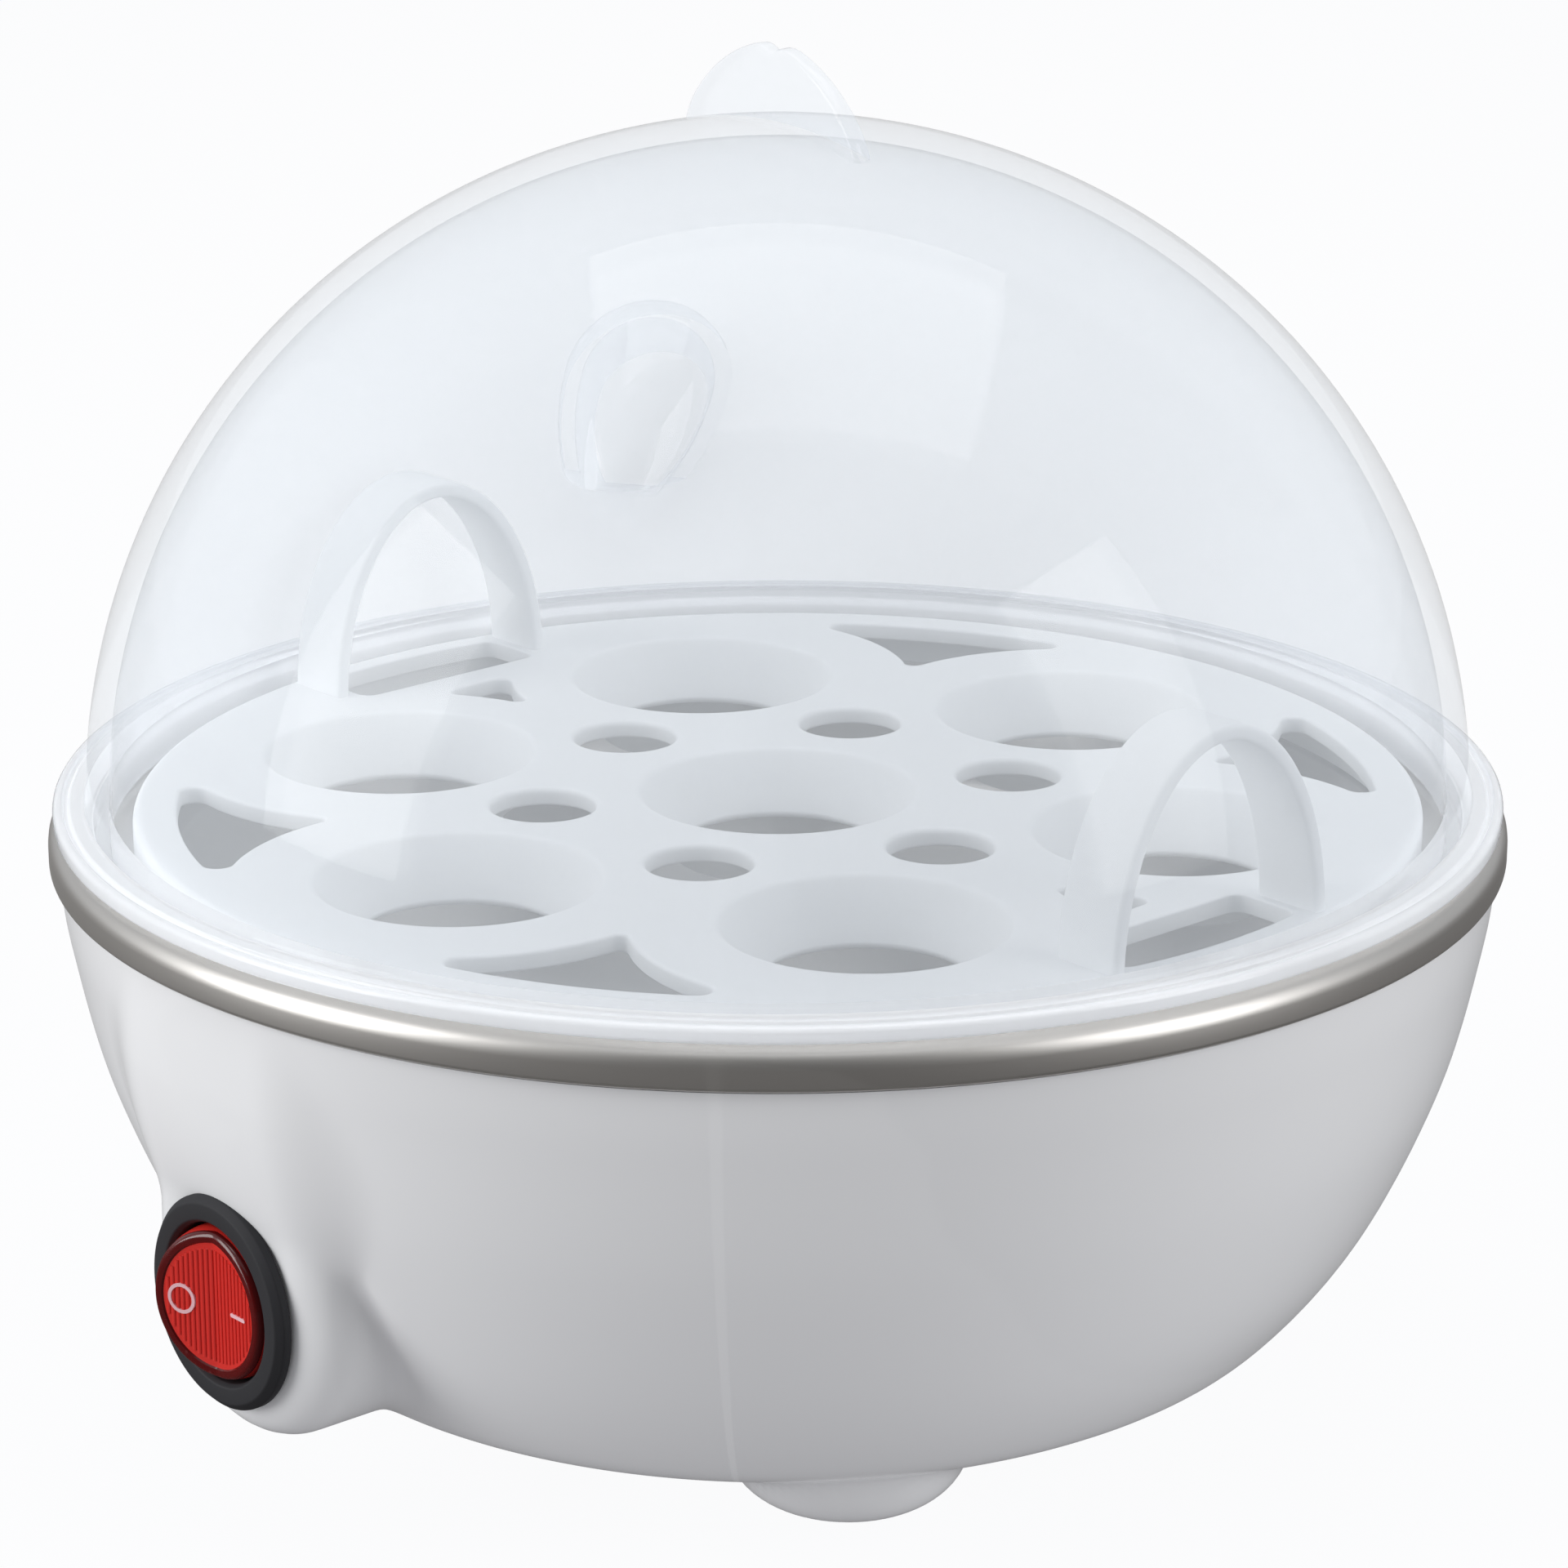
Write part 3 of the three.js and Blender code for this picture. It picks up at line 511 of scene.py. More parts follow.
def smeared(tree, marks, rough, share):
    """A roughness that rises where the surface was wiped."""
    return maths(tree, "ADD", rough, maths(tree, "MULTIPLY", marks["Smears"], share))


def glossy_white(colours):
    """White moulded plastic of the bowl: soft gloss, a little light let into the skin."""
    material, tree, shader = new_material(
        "white_plastic", Subsurface_Weight=0.12, Subsurface_Radius=(1.0, 0.9, 0.85),
        Subsurface_Scale=0.002, Coat_Weight=0.18, Coat_Roughness=0.12, IOR=1.49,
    )
    grain = effect(tree, "Moulded Grain", Sink_Scale=16.0, Sink_Share=0.6)
    marks = effect(tree, "Handling Marks", Speck_Scale=150.0)
    shade = between(tree, grain["Tone"], scaled(colours.bowl, 0.985), colours.bowl)
    shade = specked(tree, marks, shade, 0.35, (0.55, 0.54, 0.52))
    rough = smeared(tree, marks, spread(tree, grain["Tone"], 0.3, 0.7, 0.3, 0.36), 0.05)
    feed(tree, shader, shade, rough)
    bump(tree, shader, grain["Height"], 0.00004, 0.35)
    return material


def milky_white(colours):
    """Milky, slightly see-through plastic of the rack."""
    material, tree, shader = new_material(
        "milky_plastic", Subsurface_Weight=0.45, Subsurface_Radius=(1.0, 0.95, 0.95),
        Subsurface_Scale=0.004, IOR=1.5,
    )
    grain = effect(tree, "Moulded Grain", Sink_Scale=40.0, Sink_Share=0.7, Grain_Scale=1200.0)
    marks = effect(tree, "Handling Marks", Speck_Scale=120.0, Hair_Scale=80.0)
    shade = between(tree, grain["Tone"], scaled(colours.rack, 0.975), colours.rack)
    shade = specked(tree, marks, shade, 0.25, (0.6, 0.6, 0.6))
    rough = smeared(tree, marks, spread(tree, grain["Tone"], 0.3, 0.7, 0.34, 0.44), 0.08)
    feed(tree, shader, shade, rough)
    bump(tree, shader, grain["Height"], 0.00006, 0.4)
    return material


def clear_moulding(name, tint, through_weight, rough, ripple_depth):
    """Clear polished plastic of the lid. Lamps shine straight through it."""
    material, tree, shader = new_material(
        name, Base_Color=tuple(tint), Transmission_Weight=through_weight, IOR=1.42,
    )
    marks = effect(tree, "Handling Marks", Hair_Scale=120.0)
    tree.links.new(spread(tree, marks["Smears"], 0.0, 1.0, rough, rough + 0.035), shader.inputs["Roughness"])
    ripple = effect(tree, "Moulded Grain", Sink_Scale=22.0, Sink_Share=1.0)
    bump(tree, shader, ripple["Height"], ripple_depth, 0.12)
    through = add_node(tree, "ShaderNodeBsdfTransparent", {"Color": (0.95, 0.96, 0.97, 1.0)})
    path = add_node(tree, "ShaderNodeLightPath").outputs
    surface(tree, blend(tree, path["Is Shadow Ray"], shader, through))
    return material


def spun_steel(name, colour, tarnish_and_dark_reflection, low, high):
    """Steel with turned lines. Between two heights it darkens towards its lower edge as a painted dark
    reflection, and is flecked there with brown tarnish.
    """
    material, tree, shader = new_material(name, Metallic=1.0)
    lines = effect(tree, "Turned Brushing")
    marks = effect(tree, "Handling Marks", Speck_Scale=320.0, Speck_Amount=0.2)
    place = object_place(tree)
    height = add_node(tree, "ShaderNodeSeparateXYZ", {"Vector": place}).outputs["Z"]
    edge = spread(tree, height, low * MM, high * MM, 1.0, 0.0)
    flecks = spread(tree, noise(tree, place, 900.0, 2.0), 0.42, 0.56)
    under = maths(tree, "MULTIPLY", edge, flecks)
    # Painted dark reflection and tarnish: the whole lower band is darkened as a painted reflection of the
    # dark room, and its brown flecks are tarnish.
    dark_reflection_and_tarnish_mask = maths(tree, "MAXIMUM", under, maths(tree, "MULTIPLY", edge, 0.6))
    shade = between(tree, lines["Lines"], scaled(colour, 0.72), scaled(colour, 1.2))
    shade = between(tree, dark_reflection_and_tarnish_mask, shade, tarnish_and_dark_reflection)
    shade = between(tree, marks["Specks"], shade, scaled(tarnish_and_dark_reflection, 0.5))
    rough = spread(tree, lines["Lines"], 0.3, 0.7, 0.09, 0.17)
    rough = maths(tree, "ADD", rough, maths(tree, "MULTIPLY", under, 0.15))
    feed(tree, shader, shade, rough)
    bump(tree, shader, lines["Lines"], 0.00006, 0.35)
    return material


def plain_metal(name, colour, rough):
    """Bare metal with a soft, cast unevenness."""
    material, tree, shader = new_material(name, Metallic=1.0)
    grain = effect(tree, "Moulded Grain", Grain_Scale=1500.0, Sink_Scale=90.0)
    marks = effect(tree, "Handling Marks", Speck_Scale=500.0)
    shade = between(tree, grain["Tone"], scaled(colour, 0.85), scaled(colour, 1.06))
    shade = between(tree, marks["Specks"], shade, scaled(colour, 0.4))
    feed(tree, shader, shade, spread(tree, marks["Smears"], 0.0, 1.0, rough, rough + 0.14))
    bump(tree, shader, grain["Height"], 0.00005, 0.4)
    return material


def plain_moulding(name, colour, rough, grain_depth=0.00005, speck=(0.5, 0.5, 0.5), **extra):
    """A moulded or cast material of one colour."""
    material, tree, shader = new_material(name, **extra)
    grain = effect(tree, "Moulded Grain", Grain_Scale=1400.0, Sink_Scale=60.0, Sink_Share=0.35)
    marks = effect(tree, "Handling Marks", Speck_Scale=420.0, Speck_Amount=0.16)
    shade = between(tree, grain["Tone"], scaled(colour, 0.8), scaled(colour, 1.15))
    shade = specked(tree, marks, shade, 0.6, speck)
    feed(tree, shader, shade, spread(tree, marks["Smears"], 0.0, 1.0, rough, rough + 0.1))
    bump(tree, shader, grain["Height"], grain_depth, 0.5)
    return material


METALS = {
    "steel": ((0.62, 0.61, 0.59), 0.28),
    "alloy": ((0.72, 0.73, 0.74), 0.42),
    "brass": ((0.72, 0.5, 0.2), 0.3),
}
MOULDINGS = {
    "ceramic": ((0.72, 0.68, 0.6), 0.55),
    "glass_fibre": ((0.78, 0.72, 0.58), 0.75, 0.0001),
    "black_plastic": ((0.012, 0.013, 0.014), 0.36, 0.00006),
    "black_rubber": ((0.016, 0.016, 0.017), 0.6, 0.00008),
    "mark_ink": ((0.9, 0.52, 0.56), 0.4),
    "brown_sheath": ((0.16, 0.07, 0.03), 0.4),
    "blue_sheath": ((0.03, 0.1, 0.36), 0.4),
    "green_sheath": ((0.13, 0.36, 0.05), 0.4),
}
# Heights of the rim's lower band, darkened as a painted dark reflection and flecked with brown tarnish.
RIM_TARNISH_AND_REFLECTION = (62.6, 65.2)


def make_materials(colours):
    """Makes every finish of the record under its slot name, and those of a few details."""
    glossy_white(colours)
    milky_white(colours)
    clear_moulding("clear_plastic", colours.lid, 1.0, 0.015, 0.0002)
    clear_moulding("clear_flange", colours.lid, 0.45, 0.14, 0.00004)
    spun_steel("brushed_steel", tuple(colours.steel), tuple(colours.tarnish_and_dark_reflection), *RIM_TARNISH_AND_REFLECTION)
    for name, look in METALS.items():
        plain_metal(name, *look)
    for name, look in MOULDINGS.items():
        plain_moulding(name, *look)
    red = tuple(colours.rocker)
    plain_moulding(
        "red_lens", red, 0.24, 0.00002, (0.9, 0.25, 0.2), Subsurface_Weight=0.25,
        Subsurface_Radius=(1.0, 0.1, 0.08), Subsurface_Scale=0.002, Coat_Weight=0.1,
    )
    plain_moulding("red_border", scaled(red, 0.16), 0.2, 0.00002, (0.5, 0.2, 0.2), Coat_Weight=0.3)
    plain_moulding(
        "lamp_glass", (0.95, 0.75, 0.55), 0.05, 0.00001, Transmission_Weight=0.85, IOR=1.5
    )


CAD_FINISHES = {
    "alloy": (
        "heat_spreader", "heater_pin_left", "heater_pin_right", "plate_standoff_1",
        "plate_standoff_2", "plate_standoff_3", "thermostat_cap",
    ),
    "steel": (
        "heater_tube", "thermostat_strap", "thermostat_screw_1", "thermostat_screw_2",
        "thermal_fuse", "fuse_clip", "fuse_clip_screw", "earth_stud", "earth_nut", "rocker_pin",
    ),
    "brass": (
        "thermostat_terminal_left", "thermostat_terminal_right", "earth_tag", "contact_blade",
        "switch_terminal_live", "switch_terminal_common", "switch_terminal_lamp",
    ),
    "ceramic": ("thermostat_body", "rocker_plunger"),
    "glass_fibre": ("fuse_sleeve",),
    "lamp_glass": ("neon_lamp",),
    "black_plastic": ("bush_lock_nut",),
    "brown_sheath": ("lead_supply_live", "lead_thermostat", "lead_heater"),
    "blue_sheath": ("lead_supply_neutral", "lead_fuse_heater"),
    "green_sheath": ("lead_earth",),
}


def dress_frame_pieces():
    """Gives each inner frame piece that is shown its finish."""
    for slot, names in CAD_FINISHES.items():
        for name in names:
            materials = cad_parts[name].data.materials
            materials.clear()
            materials.append(bpy.data.materials[slot])


def finished(piece, body, slot, *nodes, material=None):
    """Gives a piece its finish and joins it to the frame."""
    if not any(piece.data.materials):
        piece.data.materials.clear()
        piece.data.materials.append(bpy.data.materials[material or slot])
    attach(piece, body)
    if nodes:
        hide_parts(*nodes)


def two_finishes(piece, first, second, is_second):
    """Gives a piece one finish, and another where a face's middle passes a test."""
    piece.data.materials.clear()
    piece.data.materials.append(bpy.data.materials[first])
    piece.data.materials.append(bpy.data.materials[second])
    for face in piece.data.polygons:
        if is_second(face.center / MM):
            face.material_index = 1


# ------------------------------------------------------------------ sizes and colours
def length(label, text, default):
    """A size property in metres."""
    return bpy.props.FloatProperty(
        name=label, description=text, default=default, unit="LENGTH", precision=4
    )


def colour(label, text, default):
    """A colour property."""
    return bpy.props.FloatVectorProperty(
        name=label, description=text, default=default, subtype="COLOR", size=3, min=0, max=1
    )


class EggCookerSizes(bpy.types.PropertyGroup):
    """Sizes a user may change; the frame keeps the pieces' places."""

    blister_round: length("Blister Rounding", "Rounding of the edge round the switch", 0.0054)
    blister_blend: length("Blister Blend", "Hollow between the blister and the bowl", 0.0018)
    foot_blend: length("Foot Blend", "Hollow between a foot and the bowl", 0.0009)
    rim_round: length("Rim Rounding", "Rounding of the steel rim's upper edge", 0.0022)
    seat_round: length("Seat Rounding", "Rounding of an egg seat's mouth", 0.0011)
    strap_thick: length("Arch Thickness", "Thickness of an arch's strap", 0.0017)
    strap_wide: length("Arch Width", "Width of an arch's strap", 0.0084)
    lid_wall: length("Lid Wall", "Thickness of the dome", 0.0025)
    grip_thick: length("Grip Thickness", "Thickness of the fin on the dome", 0.0022)
    rib_pitch: length("Rib Pitch", "Distance between ribs on the rocker", 0.00062)
    rib_height: length("Rib Height", "Height of a rib on the rocker", 0.00014)


class EggCookerColours(bpy.types.PropertyGroup):
    """Colours a user may change."""

    bowl: colour("Bowl", "White plastic of the bowl", (0.8, 0.815, 0.845))
    rack: colour("Rack", "Milky plastic of the rack", (0.83, 0.835, 0.85))
    lid: colour("Lid", "Tint of the clear lid", (0.962, 0.97, 0.985))
    steel: colour("Steel", "Water dish and rim", (0.5, 0.483, 0.472))
    # Painted dark reflection and tarnish: this colour darkens the rim's lower band as a painted reflection
    # and colours its brown tarnish flecks.
    tarnish_and_dark_reflection: colour("Tarnish_And_Reflection", "Darker lower edge of the rim", (0.13, 0.075, 0.055))
    rocker: colour("Rocker", "Red lens of the switch", (0.62, 0.008, 0.01))


# ------------------------------------------------------------------ bowl
def curve_through(knots, steps):
    """Smooth line through its knots, each stretch cut into steps."""
    line = np.array([knots[0], *knots, knots[-1]], float)
    out = []
    for k in range(1, len(line) - 2):
        a, b, c, d = line[k - 1:k + 3]
        for t in np.arange(steps) / steps:
            out.append(0.5 * (2 * b + (c - a) * t + (2 * a - 5 * b + 4 * c - d) * t**2
                              + (3 * b - a - 3 * c + d) * t**3))
    out.append(line[-1])
    return np.array(out)


BOWL_SIDE = curve_through(
    [(47, 5.8), (52.5, 7.9), (59.2, 12), (67.4, 23), (74.4, 39), (78, 54), (79, 61.7)], 10
)
BOWL_WALL = 2.4
BOWL_FLOOR = 5.8
LIP = {"outer": 78.5, "inner": 76.9, "low": 61.7, "top": 65.0}


def soft_union(first, second, blend):
    """The nearer of two distances, with a hollow where they meet."""
    share = np.clip(0.5 + 0.5 * (second - first) / blend, 0, 1)
    return second * (1 - share) + first * share - blend * share * (1 - share)


def bowl_distance(p, r):
    """How far points lie outside the bowl's turned side and flat floor."""
    z = p[:, 2]
    side_r = np.interp(z, BOWL_SIDE[:, 1], BOWL_SIDE[:, 0])
    slopes = np.gradient(BOWL_SIDE[:, 0], BOWL_SIDE[:, 1])
    slope = np.where(z > LIP["low"], 0.0, np.interp(z, BOWL_SIDE[:, 1], slopes))
    side = (r - side_r) / np.sqrt(1 + slope**2)
    floor_round = 1.5
    return -soft_union(-side, z - BOWL_FLOOR, floor_round)


def blister_distance(p, edge):
    """A swelling with an upright, slightly narrowing top and a round bottom."""
    half_wide, narrows, reach = 15.8, 0.5, 24.0
    flat_face, leans, leans_from, leans_over = 75.2, 1.4, 10.0, 14.0
    up = p[:, 2] - SWITCH_Z
    face = flat_face + leans * np.clip((up - leans_from) / leans_over, 0, 1)
    half = half_wide - narrows * np.clip(up / reach, 0, 1)
    around = np.hypot(p[:, 0], np.minimum(up, 0)) - half + edge
    out = -p[:, 1] - face + edge
    corner = np.hypot(np.maximum(around, 0), np.maximum(out, 0))
    return corner + np.minimum(np.maximum(around, out), 0) - edge


def inlet_distance(p):
    """A cone that widens inward for a short way only, so that it stays above the bowl's floor."""
    flat_r, widens, deepest = 9.5, 2.0 / 14.0, 30.0
    away = np.hypot(p[:, 0], p[:, 2] - INLET_Z)
    back = p[:, 1] - INLET_FACE
    return -soft_union(flat_r - widens * np.clip(back, -deepest, 0) - away, -back, 1.0)


def foot_distance(p, angle):
    """How far points lie outside a moulded foot."""
    x, y = polar(FOOT_RING, angle)
    radius, depth, power, top = 13.4, 9.15, 2.6, 9.0
    away = np.hypot(p[:, 0] - x, p[:, 1] - y) / radius
    down = np.maximum(top - p[:, 2], 0) / depth
    return ((away**power + down**power) ** (1 / power) - 1) * depth


def bowl_outside(p, sizes):
    """How far points lie outside the whole bowl, blister, inlet and feet."""
    r = np.hypot(p[:, 0], p[:, 1])
    body = bowl_distance(p, r)
    front = np.where(p[:, 1] < 0, blister_distance(p, sizes.blister_round / MM), FAR_OFF)
    back = np.where(p[:, 1] > 0, inlet_distance(p), FAR_OFF)
    extra, extra_low, extra_tall, inlet_blend = 6.0, 33, 28, 2.5
    fade = extra * np.sin(math.pi * np.clip((p[:, 2] - extra_low) / extra_tall, 0, 1))
    body = soft_union(body, front, sizes.blister_blend / MM + fade)
    body = soft_union(body, back, inlet_blend)
    for angle in FOOT_ANGLES:
        body = soft_union(body, foot_distance(p, angle), sizes.foot_blend / MM)
    return np.maximum(body, -p[:, 2])


# Where the bowl's columns lie close together: (angle, half width, step), all in degrees.
FINE_ZONES = (
    (-90, 14, 0.3), (-90, 18, 0.18), (-90, 23, 0.4), (90, 12, 0.35),
    *((angle, 20, 1.1) for angle in FOOT_ANGLES),
)


def bowl_columns():
    """Angles round the bowl, close together where the switch, inlet and feet are."""
    coarse, growth, least = 1.6, 0.14, 0.05
    out, angle = [], -180.0
    while angle < 180.0 - least:
        out.append(angle)
        step = coarse
        for centre, half, fine in FINE_ZONES:
            away = abs((angle - centre + 180) % 360 - 180) - half
            step = min(step, fine + growth * max(away, 0.0))
        angle += min(step, 180.0 - angle)
    return np.radians(out)


def skin_points(eye, rows, columns, sizes):
    """Where rays from the eye, at each row's dip and each column's turn, leave the bowl."""
    down, turn = np.meshgrid(rows, columns, indexing="ij")
    heading = np.stack([
        np.cos(down) * np.cos(turn), np.cos(down) * np.sin(turn), -np.sin(down),
    ], -1).reshape(-1, 3)
    beyond, halvings = 200.0, 26
    near, far = np.zeros(len(heading)), np.full(len(heading), beyond)
    for _ in range(halvings):
        middle = (near + far) / 2
        outside = bowl_outside(eye + heading * middle[:, None], sizes) > 0
        far = np.where(outside, middle, far)
        near = np.where(outside, near, middle)
    return (eye + heading * near[:, None]).reshape(len(rows), len(columns), 3).tolist()


def solid_bowl(sizes):
    """The bowl's outside as a closed block, found along rays from a point above its axis."""
    eye = np.array((0.0, 0.0, 120.0))
    start = math.degrees(math.atan2(eye[2] - LIP["low"], BOWL_SIDE[-1, 0]))
    rows = np.radians(np.concatenate([np.linspace(start, 80, 112), np.linspace(81, 88.8, 7)]))
    columns = bowl_columns()
    points = []
    side_rings = [add_ring(points, ring) for ring in skin_points(eye, rows, columns, sizes)]
    inner_edge = 70.0
    lip = rounded([
        (LIP["outer"], LIP["low"], 0), (LIP["outer"], LIP["top"], 0.5), (inner_edge, LIP["top"], 0),
    ])
    top_rings = [
        add_ring(points, [(r * math.cos(a), r * math.sin(a), z) for a in columns]) for r, z in lip
    ]
    top = add_ring(points, [(0.0, 0.0, LIP["top"])])
    bottom = add_ring(points, [(0.0, 0.0, BOWL_FLOOR)])
    return new_piece("base_shell_skin", points, skin([top, *reversed(top_rings), *side_rings, bottom]))


def bowl_hollow():
    """The bowl's inside as a closed tool for cutting."""
    ahead = np.gradient(BOWL_SIDE, axis=0)
    ahead /= np.linalg.norm(ahead, axis=1)[:, None]
    inner = BOWL_SIDE + np.stack([-ahead[:, 1], ahead[:, 0]], 1) * BOWL_WALL
    floor = BOWL_FLOOR + BOWL_WALL
    side = [(r, z) for r, z in inner[2:-6] if z > floor + 0.3]
    return turned("hollow", [
        (0, floor), (inner[0][0], floor), *side, (LIP["inner"], LIP["low"] - 1),
        (LIP["inner"], LIP["top"] + 1), (0, LIP["top"] + 1),
    ])


FRONT = Matrix.Translation((0, 0, SWITCH_Z)) @ Matrix.Rotation(math.pi / 2, 4, "X")
BACK = Matrix.Translation((0, 0, INLET_Z)) @ Matrix.Rotation(-math.pi / 2, 4, "X")


# Round posts and cuts of the bowl: radius, start, end and columns.
SCREW_POST = (6.0, 7.2, 19.0, 48)
SCREW_SHANK = (2.4, -1, 30, 32)
SCREW_SINK = (4.4, -1, 11, 48)
SWITCH_POCKET = (12.4, 41.2, 72.6, 64)
SWITCH_HOLE = (10.2, 60, 90, 96)
INLET_POCKET = (9.2, 45, 63, 64)
INLET_HOLE = (5.3, 40, 90, 64)


def make_bowl(sizes):
    """The white bowl with its screw posts and holes."""
    bowl = solid_bowl(sizes)
    combine(bowl, "DIFFERENCE", bowl_hollow(), drum(*SWITCH_POCKET, FRONT))
    spots = [Matrix.Translation((*polar(SCREW_RING, a), 0)) for a in SCREW_ANGLES]
    combine(bowl, "UNION", *[drum(*SCREW_POST, spot) for spot in spots])
    holes = [drum(*size, spot) for spot in spots for size in (SCREW_SHANK, SCREW_SINK)]
    holes += [drum(*SWITCH_HOLE, FRONT), drum(*INLET_POCKET, BACK), drum(*INLET_HOLE, BACK)]
    combine(bowl, "DIFFERENCE", *holes)
    smooth(bowl, 40)
    finished(bowl, "base", "white_plastic", "base_shell")


# ------------------------------------------------------------------ water dish
def make_dish(sizes):
    """The steel dish with a rim rolled over the bowl."""
    rim = sizes.rim_round / MM
    outline = rounded([
        (0, 48, 0), (60.8, 48, 4.0), (67.0, 59.8, 1.5), (68.4, 61, 0.8), (75.4, 61, 1.0),
        (75.4, RIM_TOP, 0.8), (80, RIM_TOP, rim), (80, 62, 0.6), (79.1, 62, 0.25),
        (79.1, 65.6, 1.3), (76.4, 65.6, 0.4), (76.4, 60, 1.6), (69.0, 60, 0.8),
        (67.7, 58.8, 1.5), (61.4, 47, 4.4), (0, 47, 0),
    ], 7)
    dish = turned("water_dish", outline, FINE_COLUMNS)
    smooth(dish, 40)
    finished(dish, "base", "brushed_steel", "heating_plate")


# ------------------------------------------------------------------ egg rack
def edge_profile(top, low, upper, lower, draft=0.0):
    """Rounded upper and lower corners of a plate's edge as (into the material, height)."""
    return rounded([
        (upper + 0.5, top, 0), (0, top, upper), (-draft, low, lower), (lower + 0.5 - draft, low, 0),
    ], 4)


def between_seats(angle, outer_r, side_r, corner, tip, steps):
    """A three-sided opening between two neighbouring egg seats."""
    half = 30.0

    def apart(radius, distance):
        cosine = (radius**2 + SEAT_RING**2 - distance**2) / (2 * radius * SEAT_RING)
        return half - math.degrees(math.acos(cosine))

    def heading(a, b):
        return math.degrees(math.atan2(b[1] - a[1], b[0] - a[0]))

    def sweep(centre, radius, start, end):
        turn = (end - start + 180) % 360 - 180
        return [
            (centre[0] + radius * math.cos(math.radians(start + turn * k / steps)),
             centre[1] + radius * math.sin(math.radians(start + turn * k / steps)))
            for k in range(steps + 1)
        ]

    corner_half = apart(outer_r - corner, side_r + corner)
    corners = {s: polar(outer_r - corner, angle + s * corner_half) for s in (-1, 1)}
    seats = {s: polar(SEAT_RING, angle + s * half) for s in (-1, 1)}
    reach = SEAT_RING * math.cos(math.radians(half))
    tip_r = reach + math.sqrt((side_r + tip) ** 2 - (SEAT_RING * math.sin(math.radians(half))) ** 2)
    tip_at = polar(tip_r, angle)
    return [
        *sweep((0, 0), outer_r, angle - corner_half, angle + corner_half),
        *sweep(corners[1], corner, angle + corner_half, heading(corners[1], seats[1]))[1:],
        *sweep(seats[1], side_r, heading(seats[1], corners[1]), heading(seats[1], tip_at))[1:],
        *sweep(tip_at, tip, heading(tip_at, seats[1]), heading(tip_at, seats[-1]))[1:],
        *sweep(seats[-1], side_r, heading(seats[-1], tip_at), heading(seats[-1], corners[-1]))[1:],
        *sweep(corners[-1], corner, heading(corners[-1], seats[-1]), angle - corner_half)[1:-1],
    ]


def finger_slot(angle):
    """The opening under an arch, with its outer side following the rack's edge."""
    inner, outer, half, corner = 58.0, 67.6, 12.6, 1.6
    reach = math.degrees(math.asin(half / outer))
    arc = [polar(outer, a) for a in np.linspace(-reach, reach, 11)]
    corners = [(inner, half, corner), (inner, -half, corner), (*arc[0], corner)]
    corners += [(x, y, 0) for x, y in arc[1:-1]] + [(*arc[-1], corner)]
    turn = math.radians(angle)
    return [
        (x * math.cos(turn) - y * math.sin(turn), x * math.sin(turn) + y * math.cos(turn))
        for x, y in rounded(corners, 5, True)
    ]


def rack_plate(sizes):
    """The round plate with its cups, holes, windows and finger slots."""
    low = RACK_TOP - 2.0
    mouth = sizes.seat_round / MM
    cup = rounded([
        (mouth + 0.8, RACK_TOP, 0), (-0.1, RACK_TOP, mouth), (-2.7, 63.0, 12.0), (-4.46, 60.5, 0.5),
        (-3.75, 59.8, 0.4), (-0.5, 62.9, 1.6), (0.9, low, 1.2), (2.2, low, 0),
    ], 5)
    seats = [(0, 0)] + [polar(SEAT_RING, RACK_TURN + 30 + 60 * k) for k in range(6)]
    seat_r, hole_ring, hole_r = 15.36, 26.2, 5.8
    openings = [(circle(c, seat_r, 80), cup) for c in seats]
    hole_edge = edge_profile(RACK_TOP, low, 0.7, 0.3, 0.15)
    holes = [polar(hole_ring, RACK_TURN + 60 * k) for k in range(6)]
    openings += [(circle(c, hole_r, 48), hole_edge) for c in holes]
    window_edge = edge_profile(RACK_TOP, low, 0.45, 0.3, 0.1)
    window_angles = [RACK_TURN + a for a in (60, 120, 240, 300)]
    windows = [between_seats(a, 66, 24.6, 1.6, 1, 14) for a in window_angles]
    windows += [between_seats(a, 54, 22.5, 1.5, 1, 8) for a in ARCH_ANGLES]
    slim_edge = edge_profile(RACK_TOP, low, 0.25, 0.1)
    openings += [(w, window_edge) for w in windows]
    openings += [(finger_slot(a), slim_edge) for a in ARCH_ANGLES]
    skirt_low = 61.3
    skirt = rounded([
        (1.9, RACK_TOP, 0), (0, RACK_TOP, 1.1), (0, skirt_low, 0.5), (1.8, skirt_low, 0.5),
        (1.9, low, 0.35), (2.35, low, 0),
    ], 5)
    plate_r = 70.8
    points, faces = moulded_plate(circle((0, 0), plate_r, COLUMNS), skirt, openings)
    return new_piece("egg_rack_moulding", points, faces)


def ring_turn(tree, out):
    """The turn of each copy on a ring round the upright axis."""
    index = add_node(tree, "GeometryNodeInputIndex").outputs[0]
    share = maths(tree, "DIVIDE", 2 * math.pi, out["Count"])
    return maths(tree, "ADD", maths(tree, "MULTIPLY", index, share), out["First Angle"])


def end_with_copies(tree, end, material, **inputs):
    """Ends a tree with real, finished copies of an instance on points."""
    copies = add_node(tree, "GeometryNodeInstanceOnPoints", inputs)
    real = add_node(tree, "GeometryNodeRealizeInstances", {"Geometry": copies.outputs[0]})
    dressed = add_node(
        tree, "GeometryNodeSetMaterial", {"Geometry": real.outputs[0], "Material": material}
    )
    tree.links.new(dressed.outputs[0], end.inputs[0])


